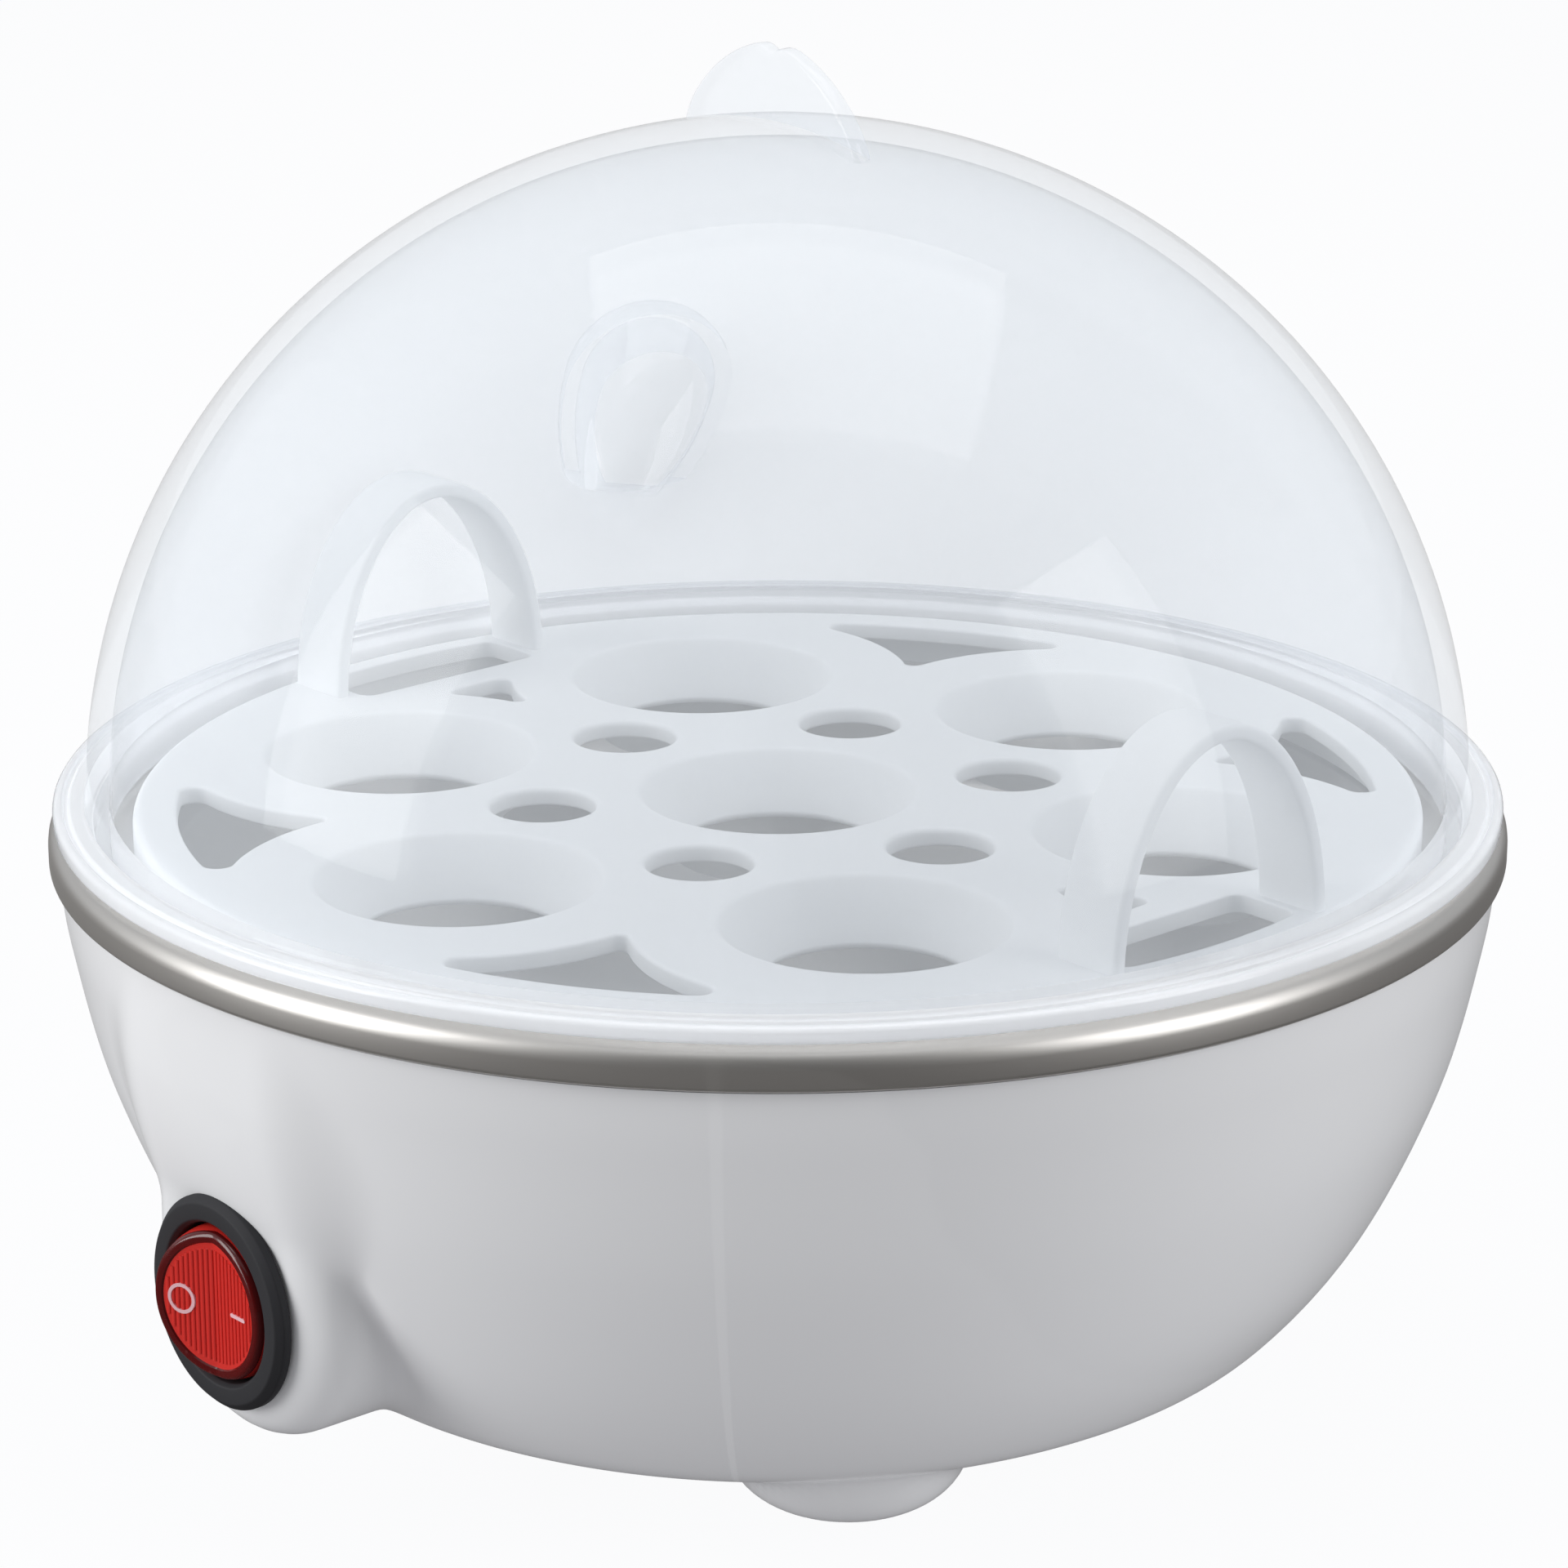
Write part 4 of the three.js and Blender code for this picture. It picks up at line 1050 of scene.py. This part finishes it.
def arch_tree():
    """Half-ellipse straps standing round the upright axis."""
    tree, start, end = geometry_tree("Carrying Arches", [
        ("Half Width", "Float", 0.0144), ("Height", "Float", 0.0229), ("Thickness", "Float", 0.0022),
        ("Strap Width", "Float", 0.0096), ("Ring Radius", "Float", 0.0638), ("Foot Height", "Float", 0.066),
        ("Edge Rounding", "Float", 0.0006), ("Count", "Int", 2), ("First Angle", "Float", 0.0),
        ("Material", "Material", None),
    ])
    out = start.outputs
    arc = add_node(tree, "GeometryNodeCurveArc", {
        "Resolution": 73, "Radius": 1.0, "Start Angle": 0.0, "Sweep Angle": math.pi,
    }, mode="RADIUS")
    size = vector(tree, out["Half Width"], out["Height"], 1.0)
    oval = add_node(tree, "GeometryNodeTransform", {"Geometry": arc.outputs["Curve"], "Scale": size})
    section = add_node(
        tree, "GeometryNodeCurvePrimitiveQuadrilateral",
        {"Width": out["Thickness"], "Height": out["Strap Width"]},
    )
    soft = add_node(tree, "GeometryNodeFilletCurve", {
        "Curve": section.outputs[0], "Radius": out["Edge Rounding"], "Count": 4,
    }, mode="POLY")
    flat = add_node(tree, "GeometryNodeSetCurveNormal", {"Curve": oval.outputs[0]}, mode="Z_UP")
    strap = add_node(tree, "GeometryNodeCurveToMesh", {
        "Curve": flat.outputs[0], "Profile Curve": soft.outputs[0], "Fill Caps": True,
    })
    upright = add_node(tree, "GeometryNodeTransform", {
        "Geometry": strap.outputs[0],
        "Translation": vector(tree, out["Ring Radius"], 0.0, out["Foot Height"]),
        "Rotation": (math.pi / 2, 0, math.pi / 2),
    })
    spots = add_node(tree, "GeometryNodePoints", {"Count": out["Count"]})
    end_with_copies(
        tree, end, out["Material"], Points=spots.outputs[0], Instance=upright.outputs[0],
        Rotation=vector(tree, z=ring_turn(tree, out)),
    )
    return tree


def make_rack(sizes):
    """The plate with its two carrying arches."""
    rack = rack_plate(sizes)
    arches = new_piece("arches", np.zeros((0, 3)), [], closed=False)
    thick, arch_half, arch_height = sizes.strap_thick, 0.0155, 0.024
    grow(arches, arch_tree(), {
        "Half Width": arch_half - thick / 2, "Height": arch_height - thick / 2,
        "Thickness": thick, "Strap Width": sizes.strap_wide, "First Angle": math.radians(RACK_TURN),
        "Material": bpy.data.materials["milky_plastic"],
    })
    turn_outward(arches.data)
    combine(rack, "UNION", arches)
    rack.data.materials.clear()
    smooth(rack, 38)
    finished(rack, "rack", "milky_plastic", "egg_rack")


# ------------------------------------------------------------------ lid
GRIP_TURN = -5
DOME = {"outer_r": 75.8, "outer_h": 74.15, "flange_r": 79.4, "flange_top": 68.6, "under": 66.8}


def dome_line(radius, height, steps, last=1.5):
    """Points down the dome's side as (radius, height)."""
    turns = np.radians(np.linspace(90, last, steps))
    return [(max(0.0, radius * math.cos(t)), RACK_TOP + height * math.sin(t)) for t in turns]


def vent_place():
    """The vent's own frame on the dome: Z out of it and Y down its slope."""
    ring, angle = 48.0, math.radians(-56)
    height = DOME["outer_h"] * math.sqrt(1 - (ring / DOME["outer_r"]) ** 2)
    steep = math.atan2(height / DOME["outer_h"] ** 2, ring / DOME["outer_r"] ** 2)
    ux, uy = math.cos(angle), math.sin(angle)
    out = Vector((ux * math.cos(steep), uy * math.cos(steep), math.sin(steep)))
    down = Vector((ux * math.sin(steep), uy * math.sin(steep), -math.cos(steep)))
    place = Matrix((down.cross(out), down, out)).transposed().to_4x4()
    place.translation = Vector((ux * ring, uy * ring, RACK_TOP + height))
    return place


def vent_egg(shrink, mouth_z):
    """An egg lying on the dome, narrow end down, cut off level above its mouth."""
    across, above, below, rise = 8.4 - shrink, 9.0 - shrink, 19.0 - shrink, 6.5 - shrink
    narrowing = 0.3
    turns = np.linspace(0, math.pi, 49)
    points, faces = revolve([(math.sin(t), -math.cos(t)) for t in turns], 80)
    place = vent_place()
    shaped = []
    for x, y, z in points:
        along = z * (below if z > 0 else above)
        narrow = 1.0 - narrowing * max(z, 0.0) ** 2
        shaped.append(place @ Vector((x * across * narrow, along, -y * rise)))
    egg = new_piece("vent_egg", shaped, faces)
    return combine(egg, "INTERSECT", box((200, 200, 100), (0, 0, mouth_z + 50)))


def grip_fin(thick):
    """Upright fin with two lobes and a small notch between them."""
    half, rise, base, power, notch = 15.8, 11.02, 139.0, 1.6, 1.0
    top = []
    for k in range(61):
        u = math.cos(math.pi * k / 60)
        lobe = (1 - abs(u) ** power) ** (1 / power) * rise
        dip = notch * math.exp(-((u / 0.09) ** 2))
        top.append((u * half, base + lobe - dip))
    outline = top + [(-half + 1, base - 2.4), (half - 1, base - 2.4)]
    side, soft, flat, deep = thick / 2, 0.6, 0.7, 0.9
    bend = rounded([(flat, side, 0), (0, side, soft), (0, -side, soft), (flat, -side, 0)], 4)
    points, faces = moulded_plate(outline, [(deep, side), *bend, (deep, -side)], [])
    turn = Matrix.Rotation(math.radians(GRIP_TURN), 4, "Z") @ Matrix.Rotation(math.pi / 2, 4, "X")
    return new_piece("grip", [turn @ Vector(p) for p in points], faces)


def make_lid(sizes):
    """The clear dome with its flange, vent and grip in one piece."""
    wall = sizes.lid_wall / MM
    r, h, flange, under = DOME["outer_r"], DOME["outer_h"], DOME["flange_r"], DOME["under"]
    top = DOME["flange_top"]
    collar_low = 64.0
    outer = dome_line(r, h, 96, 2.6)
    outer += rounded([
        (outer[-1][0], outer[-1][1], 0), (r - 0.02, top, 0.7), (77.5, top, 0.3), (77.8, top - 0.45, 0.3),
        (78.2, top - 0.45, 0.3), (78.4, top, 0.2), (flange, top, 0.6), (flange, under, 0.4),
        (75.0, under, 0.3), (75.0, collar_low, 0.4), (70.0, collar_low, 0), (0, collar_low, 0),
    ], 4)[1:]
    lid = turned("clear_lid", outer, FINE_COLUMNS)
    vent_low, lip = 117.0, 1.7
    combine(lid, "UNION", vent_egg(0.0, vent_low), grip_fin(sizes.grip_thick / MM))
    room = dome_line(r - wall, h - wall, 96) + [(r - wall, collar_low - 1), (0, collar_low - 1)]
    combine(lid, "DIFFERENCE", turned("room", room, FINE_COLUMNS), vent_egg(lip, vent_low - 1.5))
    smooth(lid, 30)
    two_finishes(lid, "clear_plastic", "clear_flange", lambda spot: spot.z < top + 0.2)
    finished(lid, "lid", "clear_plastic", "lid_dome")


# ------------------------------------------------------------------ switch
def switch_matrix(tilt=0.0):
    """From the switch's own drawing, face up at height 0, to its place in the bowl."""
    laid = Matrix.Translation((0, -SWITCH_OUT, SWITCH_Z)) @ Matrix.Rotation(math.pi / 2, 4, "X")
    turn = Matrix.Translation((0, PIVOT_Y, 0)) @ Matrix.Rotation(tilt, 4, "Z")
    return turn @ Matrix.Translation((0, -PIVOT_Y, 0)) @ laid


def make_bezel():
    """The switch's round housing with its slots behind."""
    bore, barrel, ring, depth = 8.7, 9.9, 11.6, -20.0
    outline = rounded([
        (0, depth, 0), (barrel, depth, 0.5), (barrel, -1.7, 0.15), (ring, -1.7, 0.15),
        (ring, -0.75, 0.35), (ring - 0.75, 0, 0.4), (bore + 0.35, 0, 0.3), (bore, -0.6, 0.3),
        (bore, depth + 2, 0.5), (0, depth + 2, 0),
    ], 4)
    housing = turned("switch_bezel", outline, 128, place=switch_matrix())
    slots = [box((1.6, 5.6, 8), (x, 0, depth), switch_matrix()) for x in (-6, 0, 6)]
    combine(housing, "DIFFERENCE", *slots)
    smooth(housing, 30)
    finished(housing, "base", "black_plastic", "switch_housing")


ROCKER = {"radius": 8.35, "valley": 0.25, "pivot": -2.2, "back": -5.4, "border": 1.0, "sunk": 0.22}


def rocker_front(x):
    """Height of the rocker's V-shaped front."""
    return ROCKER["valley"] + abs(x) * math.tan(REST_TILT)


def rocker_reach(angle):
    """Distance from the middle to where the V-shaped front meets the ball."""
    low, high = 0.0, ROCKER["radius"]
    for _ in range(30):
        middle = (low + high) / 2
        z = rocker_front(middle * math.cos(angle)) - ROCKER["pivot"]
        low, high = (middle, high) if middle**2 + z**2 < ROCKER["radius"] ** 2 else (low, middle)
    return low


# Rings over the rocker's face: (share of the sunk face or 1, distance from the edge, lift).
SUNK_RINGS = tuple((share, None, -ROCKER["sunk"]) for share in (0.12, 0.25, 0.4, 0.55, 0.7, 0.85))
BORDER_RINGS = (
    (1.0, ROCKER["border"] + 0.25, -ROCKER["sunk"]), (1.0, ROCKER["border"], -ROCKER["sunk"] * 0.8),
    (1.0, ROCKER["border"] - 0.15, -0.02), (1.0, 0.45, 0.0), (1.0, 0.2, -0.03), (1.0, 0.06, -0.12),
)


def rocker_block(place):
    """The ball-sided button with a sunk face inside a raised border."""
    columns = 128
    angles = np.arange(columns) * 2 * math.pi / columns
    reach = np.array([rocker_reach(a) for a in angles])
    border, pivot, back = ROCKER["border"], ROCKER["pivot"], ROCKER["back"]
    points = []
    rings = [add_ring(points, [(0, 0, ROCKER["valley"] - ROCKER["sunk"])])]
    for share, inset, lift in SUNK_RINGS + BORDER_RINGS:
        ring = []
        for a, far in zip(angles, reach):
            r = share * (far - border - 0.25) if inset is None else far - inset
            ring.append((r * math.cos(a), r * math.sin(a), rocker_front(r * math.cos(a)) + lift))
        rings.append(add_ring(points, ring))
    edge = [rocker_front(far * math.cos(a)) - 0.3 for a, far in zip(angles, reach)]
    for share in np.linspace(0, 1, 14):
        ring = []
        for a, start in zip(angles, edge):
            z = start + (back - start) * share
            r = math.sqrt(max(ROCKER["radius"] ** 2 - (z - pivot) ** 2, 0))
            ring.append((r * math.cos(a), r * math.sin(a), z))
        rings.append(add_ring(points, ring))
    rings.append(add_ring(points, [(0, 0, back)]))
    return new_piece("switch_rocker_body", [place @ Vector(p) for p in points], skin(rings))


def make_rocker():
    """The button with a stem behind, its pin's bore and a darker border."""
    place = switch_matrix(REST_TILT)
    body = rocker_block(place)
    stem, bore, back = 1.9, 1.1, ROCKER["back"]
    combine(body, "UNION", drum(stem, back - 3, back + 1, 32, place))
    across = place @ Matrix.Translation((0, 0, ROCKER["pivot"])) @ Matrix.Rotation(math.pi / 2, 4, "X")
    combine(body, "DIFFERENCE", drum(bore, -12, 12, 32, across))
    undo = place.inverted()

    def on_border(middle):
        spot = undo @ middle
        far = rocker_reach(math.atan2(spot.y, spot.x))
        on_front = spot.z > rocker_front(spot.x) - 0.9
        return on_front and math.hypot(spot.x, spot.y) > far - ROCKER["border"] - 0.1

    two_finishes(body, "red_lens", "red_border", on_border)
    smooth(body, 30)
    finished(body, "rocker", "red_lens", "switch_rocker")


def rib_tree():
    """Parallel ribs on a round, V-shaped face, each as long as the face is wide there."""
    tree, start, end = geometry_tree("Rocker Ribs", [
        ("Count", "Int", 21), ("Pitch", "Float", 0.0006), ("Face Radius", "Float", 0.0063),
        ("Valley", "Float", 0.0), ("Slope", "Float", 0.17), ("Material", "Material", None),
    ])
    out = start.outputs
    index = add_node(tree, "GeometryNodeInputIndex").outputs[0]
    middle = maths(tree, "MULTIPLY", maths(tree, "SUBTRACT", out["Count"], 1.0), 0.5)
    x = maths(tree, "MULTIPLY", maths(tree, "SUBTRACT", index, middle), out["Pitch"])
    size = maths(tree, "ABSOLUTE", x)
    z = maths(tree, "ADD", maths(tree, "MULTIPLY", size, out["Slope"]), out["Valley"])
    squares = [maths(tree, "POWER", value, 2.0) for value in (out["Face Radius"], size)]
    reach = maths(tree, "SQRT", maths(tree, "SUBTRACT", *squares))
    line = add_node(
        tree, "GeometryNodePoints", {"Count": out["Count"], "Position": vector(tree, x, 0.0, z)}
    )
    lean = maths(tree, "MULTIPLY", maths(tree, "SIGN", x), maths(tree, "ARCTANGENT", out["Slope"]))
    end_with_copies(
        tree, end, out["Material"], Points=line.outputs[0], Instance=out["Geometry"],
        Rotation=vector(tree, y=maths(tree, "MULTIPLY", lean, -1.0)),
        Scale=vector(tree, 1.0, reach, 1.0),
    )
    return tree


def rib_bar(half_width, height):
    """One low rib of unit half length, rounded over its top."""
    low, shoulder, crest = -0.1, 0.85, 0.4
    section = [
        (-half_width, low), (half_width, low), (half_width * shoulder, height * 0.6),
        (half_width * crest, height), (-half_width * crest, height),
        (-half_width * shoulder, height * 0.6),
    ]
    points = []
    ends = [add_ring(points, [(x, y, z) for x, z in section]) for y in (-1 / MM, 1 / MM)]
    faces = skin(ends) + [tuple(ends[0]), tuple(reversed(ends[1]))]
    return new_piece("rocker_ribs", points, faces)


def make_ribs(sizes):
    """The fine ribs on the rocker's sunk face."""
    share, radius = 0.36, 6.25
    ribs = rib_bar(sizes.rib_pitch / MM * share, sizes.rib_height / MM)
    valley = ROCKER["valley"] - ROCKER["sunk"]
    grow(ribs, rib_tree(), {
        "Count": int(2 * radius / (sizes.rib_pitch / MM)), "Pitch": sizes.rib_pitch,
        "Face Radius": radius * MM, "Valley": valley * MM, "Slope": math.tan(REST_TILT),
        "Material": bpy.data.materials["red_lens"],
    })
    place = switch_matrix(REST_TILT)
    place.translation *= MM
    ribs.data.transform(place)
    turn_outward(ribs.data)
    smooth(ribs, 50)
    finished(ribs, "rocker", "red_lens")


def on_face(x, y, lift):
    """A point at a lift over the rocker's sunk face."""
    return (x, y, rocker_front(x) - ROCKER["sunk"] + lift)


def make_marks():
    """The ring on the off side and the bar on the on side, printed over the ribs."""
    place = switch_matrix(REST_TILT)
    centre, top, low = 4.1, 0.21, -0.05
    ring_inner, ring_outer, half, thick, soft = 1.3, 1.68, 1.25, 0.2, 0.19
    points = []
    rings = []
    for r, lift in ((ring_inner, low), (ring_inner, top), (ring_outer, top), (ring_outer, low)):
        circle_line = circle((0, 0), r, 48)
        rings.append(add_ring(points, [on_face(x - centre, y, lift) for x, y in circle_line]))
    faces = skin(rings + rings[:1])
    bar = rounded([
        (-half, -thick, soft), (half, -thick, soft), (half, thick, soft), (-half, thick, soft),
    ], 4, True)
    ends = [add_ring(points, [on_face(centre + x, y, lift) for x, y in bar]) for lift in (low, top)]
    faces += skin(ends) + [tuple(end) for end in ends]
    marks = new_piece("rocker_marks", [place @ Vector(p) for p in points], faces)
    smooth(marks, 40)
    finished(marks, "rocker", "red_lens", material="mark_ink")


# ------------------------------------------------------------------ inlet and screws
def make_bush():
    """The cord inlet's rubber bush."""
    outline = rounded([
        (3.4, -12, 0.3), (5, -12, 0.4), (5, 0.3, 0.1), (8, 0.3, 0.25), (8, 1.6, 0.5), (6.6, 2.99, 0.8),
        (4.2, 2.99, 0.3), (3.4, 2.2, 0.4),
    ], 5, True)
    place = Matrix.Translation((0, INLET_FACE, INLET_Z)) @ Matrix.Rotation(-math.pi / 2, 4, "X")
    bush = turned("inlet_bush", outline, 96, closed=True, place=place)
    smooth(bush, 30)
    finished(bush, "base", "black_rubber", "cord_bush")


def screw_tree():
    """Copies of one screw on a ring round the upright axis."""
    tree, start, end = geometry_tree("Base Screws", [
        ("Count", "Int", 3), ("Ring Radius", "Float", 0.041), ("First Angle", "Float", 0.0),
        ("Material", "Material", None),
    ])
    out = start.outputs
    turn = ring_turn(tree, out)
    x = maths(tree, "MULTIPLY", maths(tree, "COSINE", turn), out["Ring Radius"])
    y = maths(tree, "MULTIPLY", maths(tree, "SINE", turn), out["Ring Radius"])
    spots = add_node(
        tree, "GeometryNodePoints", {"Count": out["Count"], "Position": vector(tree, x, y)}
    )
    end_with_copies(
        tree, end, out["Material"], Points=spots.outputs[0], Instance=out["Geometry"],
        Rotation=vector(tree, z=turn),
    )
    return tree


def make_screws():
    """The three screws in the base, each with a cross slot."""
    head, shank, head_low, head_top, tip = 3.9, 2, 8.0, 10.7, 28.0
    outline = rounded([
        (0, head_low, 0), (head, head_low, 0.9), (head, head_top, 0.2), (shank, head_top, 0.2),
        (shank, tip, 0.5), (0, tip, 0),
    ], 4)
    screw = turned("base_screws", outline, 48)
    cross = [box((4.2, 0.9, 2.4), (0, 0, head_low)), box((0.9, 4.2, 2.4), (0, 0, head_low))]
    combine(screw, "DIFFERENCE", *cross)
    grow(screw, screw_tree(), {
        "Ring Radius": SCREW_RING * MM, "First Angle": math.radians(SCREW_ANGLES[0]),
        "Material": bpy.data.materials["steel"],
    })
    smooth(screw, 35)
    finished(screw, "base", "steel", "base_screw_1", "base_screw_2", "base_screw_3")


# ------------------------------------------------------------------ stage
STAGE = {
    "azimuth": 49.4, "elevation": 17.98, "roll": -0.09, "distance": 591.66, "lens": 123.1,
    "target_right": 0.68, "target_z": 67.58,
}


def studio_floor():
    """Pale floor that fills the view and throws little light back at the object."""
    mesh = bpy.data.meshes.new("floor")
    side = 6.0
    corners = [(-side, -side, 0), (side, -side, 0), (side, side, 0), (-side, side, 0)]
    mesh.from_pydata(corners, [], [(0, 1, 2, 3)])
    floor = new_object("floor", mesh)
    material, tree, shader = new_material("pale_floor", Roughness=0.7, Base_Color=(0.8, 0.8, 0.8))
    shader.inputs["Specular IOR Level"].default_value = 0.1
    glow, dim, dark = [
        add_node(tree, "ShaderNodeEmission", {"Color": (*colour, 1.0), "Strength": 1.0})
        for colour in ((0.99, 0.992, 1.0), (0.44, 0.44, 0.46), (0.03, 0.025, 0.022))
    ]
    path = add_node(tree, "ShaderNodeLightPath").outputs
    far = blend(tree, path["Is Diffuse Ray"], glow, dim)
    lit = blend(tree, path["Is Glossy Ray"], far, dark)
    mix = blend(tree, 0.95, shader, lit)
    surface(tree, mix)
    mesh.materials.append(material)


def panel(name, place, aim, size, power):
    """A soft rectangular lamp that looks at a point."""
    light = bpy.data.lights.new(name, "AREA")
    light.shape = "RECTANGLE"
    light.size, light.size_y = size
    light.energy = power
    lamp = new_object(name, light)
    lamp.location = place
    lamp.rotation_euler = (Vector(aim) - Vector(place)).to_track_quat("-Z", "Y").to_euler()
    lamp.visible_transmission = False
    return lamp


def studio_light():
    """A pale room, three softboxes, and a dark card that only reflections see."""
    world = bpy.data.worlds.new("studio")
    world.use_nodes = True
    tree = world.node_tree
    back = tree.nodes["Background"]
    back.inputs["Color"].default_value = (0.93, 0.96, 1.0, 1.0)
    lighting, backdrop = 0.47, 1.0
    path = add_node(tree, "ShaderNodeLightPath").outputs
    seen = maths(tree, "MAXIMUM", path["Is Camera Ray"], path["Is Transmission Ray"])
    tree.links.new(spread(tree, seen, 0.0, 1.0, lighting, backdrop), back.inputs["Strength"])
    bpy.context.scene.world = world
    turn = math.radians(STAGE["azimuth"])
    right = Vector((math.cos(turn), math.sin(turn), 0))
    front = Vector((math.sin(turn), -math.cos(turn), 0))

    def spot(to_right, to_front, up):
        return right * to_right + front * to_front + Vector((0, 0, up))

    top = panel("top_softbox", Vector((-0.135, 0.18, 1.02)), (0.03, -0.02, 0.12), (0.84, 0.84), 4.4)
    top.rotation_euler = (0, 0, turn)
    panel("left_softbox", spot(-1.05, 0.3, 0.45), (0, 0, 0.05), (0.6, 1.0), 8.6)
    panel("right_softbox", spot(0.95, 0.5, 0.45), (0, 0, 0.05), (0.5, 1.0), 5.4)
    card = bpy.data.meshes.new("dark_card")
    half, ahead, tall = 0.75, 0.8, 1.0
    corners = [
        spot(side * half, ahead, up) for side, up in ((-1, 0), (1, 0), (1, tall), (-1, tall))
    ]
    card.from_pydata(corners, [], [(0, 1, 2, 3)])
    material, _, _ = new_material("dark_card", Base_Color=(0.03, 0.03, 0.03), Roughness=1.0)
    card.materials.append(material)
    flag = new_object("dark_card", card)
    flag.visible_camera = False
    flag.visible_transmission = False


def studio_camera():
    """The camera at its fixed angle and distance."""
    turn, lift = math.radians(STAGE["azimuth"]), math.radians(STAGE["elevation"])
    right = Vector((math.cos(turn), math.sin(turn), 0))
    back = Vector((math.sin(turn) * math.cos(lift), -math.cos(turn) * math.cos(lift), math.sin(lift)))
    target = right * STAGE["target_right"] + Vector((0, 0, STAGE["target_z"]))
    data = bpy.data.cameras.new("camera")
    data.lens, data.sensor_width, data.clip_start = STAGE["lens"], 36.0, 0.01
    camera = new_object("camera", data)
    camera.location = (target + back * STAGE["distance"]) * MM
    aim = (-back).to_track_quat("-Z", "Y").to_matrix().to_4x4()
    camera.rotation_euler = (aim @ Matrix.Rotation(math.radians(STAGE["roll"]), 4, "Z")).to_euler()
    bpy.context.scene.camera = camera


# ------------------------------------------------------------------ operators and panel
class COOKER_OT_materials(bpy.types.Operator):
    """Makes the finishes and gives each inner frame piece its own"""

    bl_idname = "cooker.materials"
    bl_label = "Materials"
    bl_options = {"REGISTER", "UNDO"}

    def execute(self, context):
        make_materials(context.scene.egg_cooker_colours)
        dress_frame_pieces()
        return {"FINISHED"}


class COOKER_OT_bowl(bpy.types.Operator):
    """Builds the white bowl with its feet and switch blister"""

    bl_idname = "cooker.bowl"
    bl_label = "Bowl"
    bl_options = {"REGISTER", "UNDO"}

    def execute(self, context):
        make_bowl(context.scene.egg_cooker_sizes)
        return {"FINISHED"}


class COOKER_OT_dish(bpy.types.Operator):
    """Builds the steel water dish with its rolled rim"""

    bl_idname = "cooker.dish"
    bl_label = "Water Dish"
    bl_options = {"REGISTER", "UNDO"}

    def execute(self, context):
        make_dish(context.scene.egg_cooker_sizes)
        return {"FINISHED"}


class COOKER_OT_rack(bpy.types.Operator):
    """Builds the egg rack with its seats, openings and arches"""

    bl_idname = "cooker.rack"
    bl_label = "Egg Rack"
    bl_options = {"REGISTER", "UNDO"}

    def execute(self, context):
        make_rack(context.scene.egg_cooker_sizes)
        return {"FINISHED"}


class COOKER_OT_lid(bpy.types.Operator):
    """Builds the clear lid with its vent and grip"""

    bl_idname = "cooker.lid"
    bl_label = "Lid"
    bl_options = {"REGISTER", "UNDO"}

    def execute(self, context):
        make_lid(context.scene.egg_cooker_sizes)
        return {"FINISHED"}


class COOKER_OT_switch(bpy.types.Operator):
    """Builds the switch's bezel, rocker, ribs and marks"""

    bl_idname = "cooker.switch"
    bl_label = "Switch"
    bl_options = {"REGISTER", "UNDO"}

    def execute(self, context):
        make_bezel()
        make_rocker()
        make_ribs(context.scene.egg_cooker_sizes)
        make_marks()
        return {"FINISHED"}


class COOKER_OT_fittings(bpy.types.Operator):
    """Builds the inlet's bush and the base screws"""

    bl_idname = "cooker.fittings"
    bl_label = "Inlet and Screws"
    bl_options = {"REGISTER", "UNDO"}

    def execute(self, context):
        make_bush()
        make_screws()
        return {"FINISHED"}


class COOKER_OT_stage(bpy.types.Operator):
    """Sets out the floor, lights and camera"""

    bl_idname = "cooker.stage"
    bl_label = "Stage"
    bl_options = {"REGISTER", "UNDO"}

    def execute(self, context):
        studio_floor()
        studio_light()
        studio_camera()
        context.scene.view_settings.view_transform = "Standard"
        return {"FINISHED"}


OPERATORS = (
    COOKER_OT_materials, COOKER_OT_bowl, COOKER_OT_dish, COOKER_OT_rack, COOKER_OT_lid,
    COOKER_OT_switch, COOKER_OT_fittings, COOKER_OT_stage,
)


class COOKER_PT_sidebar(bpy.types.Panel):
    """Lists the cooker's steps, sizes and colours"""

    bl_label = "Egg Cooker"
    bl_idname = "COOKER_PT_sidebar"
    bl_space_type = "VIEW_3D"
    bl_region_type = "UI"
    bl_category = "Egg Cooker"

    def draw(self, context):
        for operator in OPERATORS:
            self.layout.operator(operator.bl_idname)
        for group in (context.scene.egg_cooker_sizes, context.scene.egg_cooker_colours):
            column = self.layout.column()
            for name in group.__annotations__:
                column.prop(group, name)


CLASSES = (EggCookerSizes, EggCookerColours, *OPERATORS, COOKER_PT_sidebar)


def register():
    for one in CLASSES:
        bpy.utils.register_class(one)
    bpy.types.Scene.egg_cooker_sizes = bpy.props.PointerProperty(type=EggCookerSizes)
    bpy.types.Scene.egg_cooker_colours = bpy.props.PointerProperty(type=EggCookerColours)


def unregister():
    del bpy.types.Scene.egg_cooker_colours
    del bpy.types.Scene.egg_cooker_sizes
    for one in reversed(CLASSES):
        bpy.utils.unregister_class(one)


def main():
    register()
    for operator in OPERATORS:
        area, name = operator.bl_idname.split(".")
        getattr(getattr(bpy.ops, area), name)()


if __name__ == "__main__":
    main()
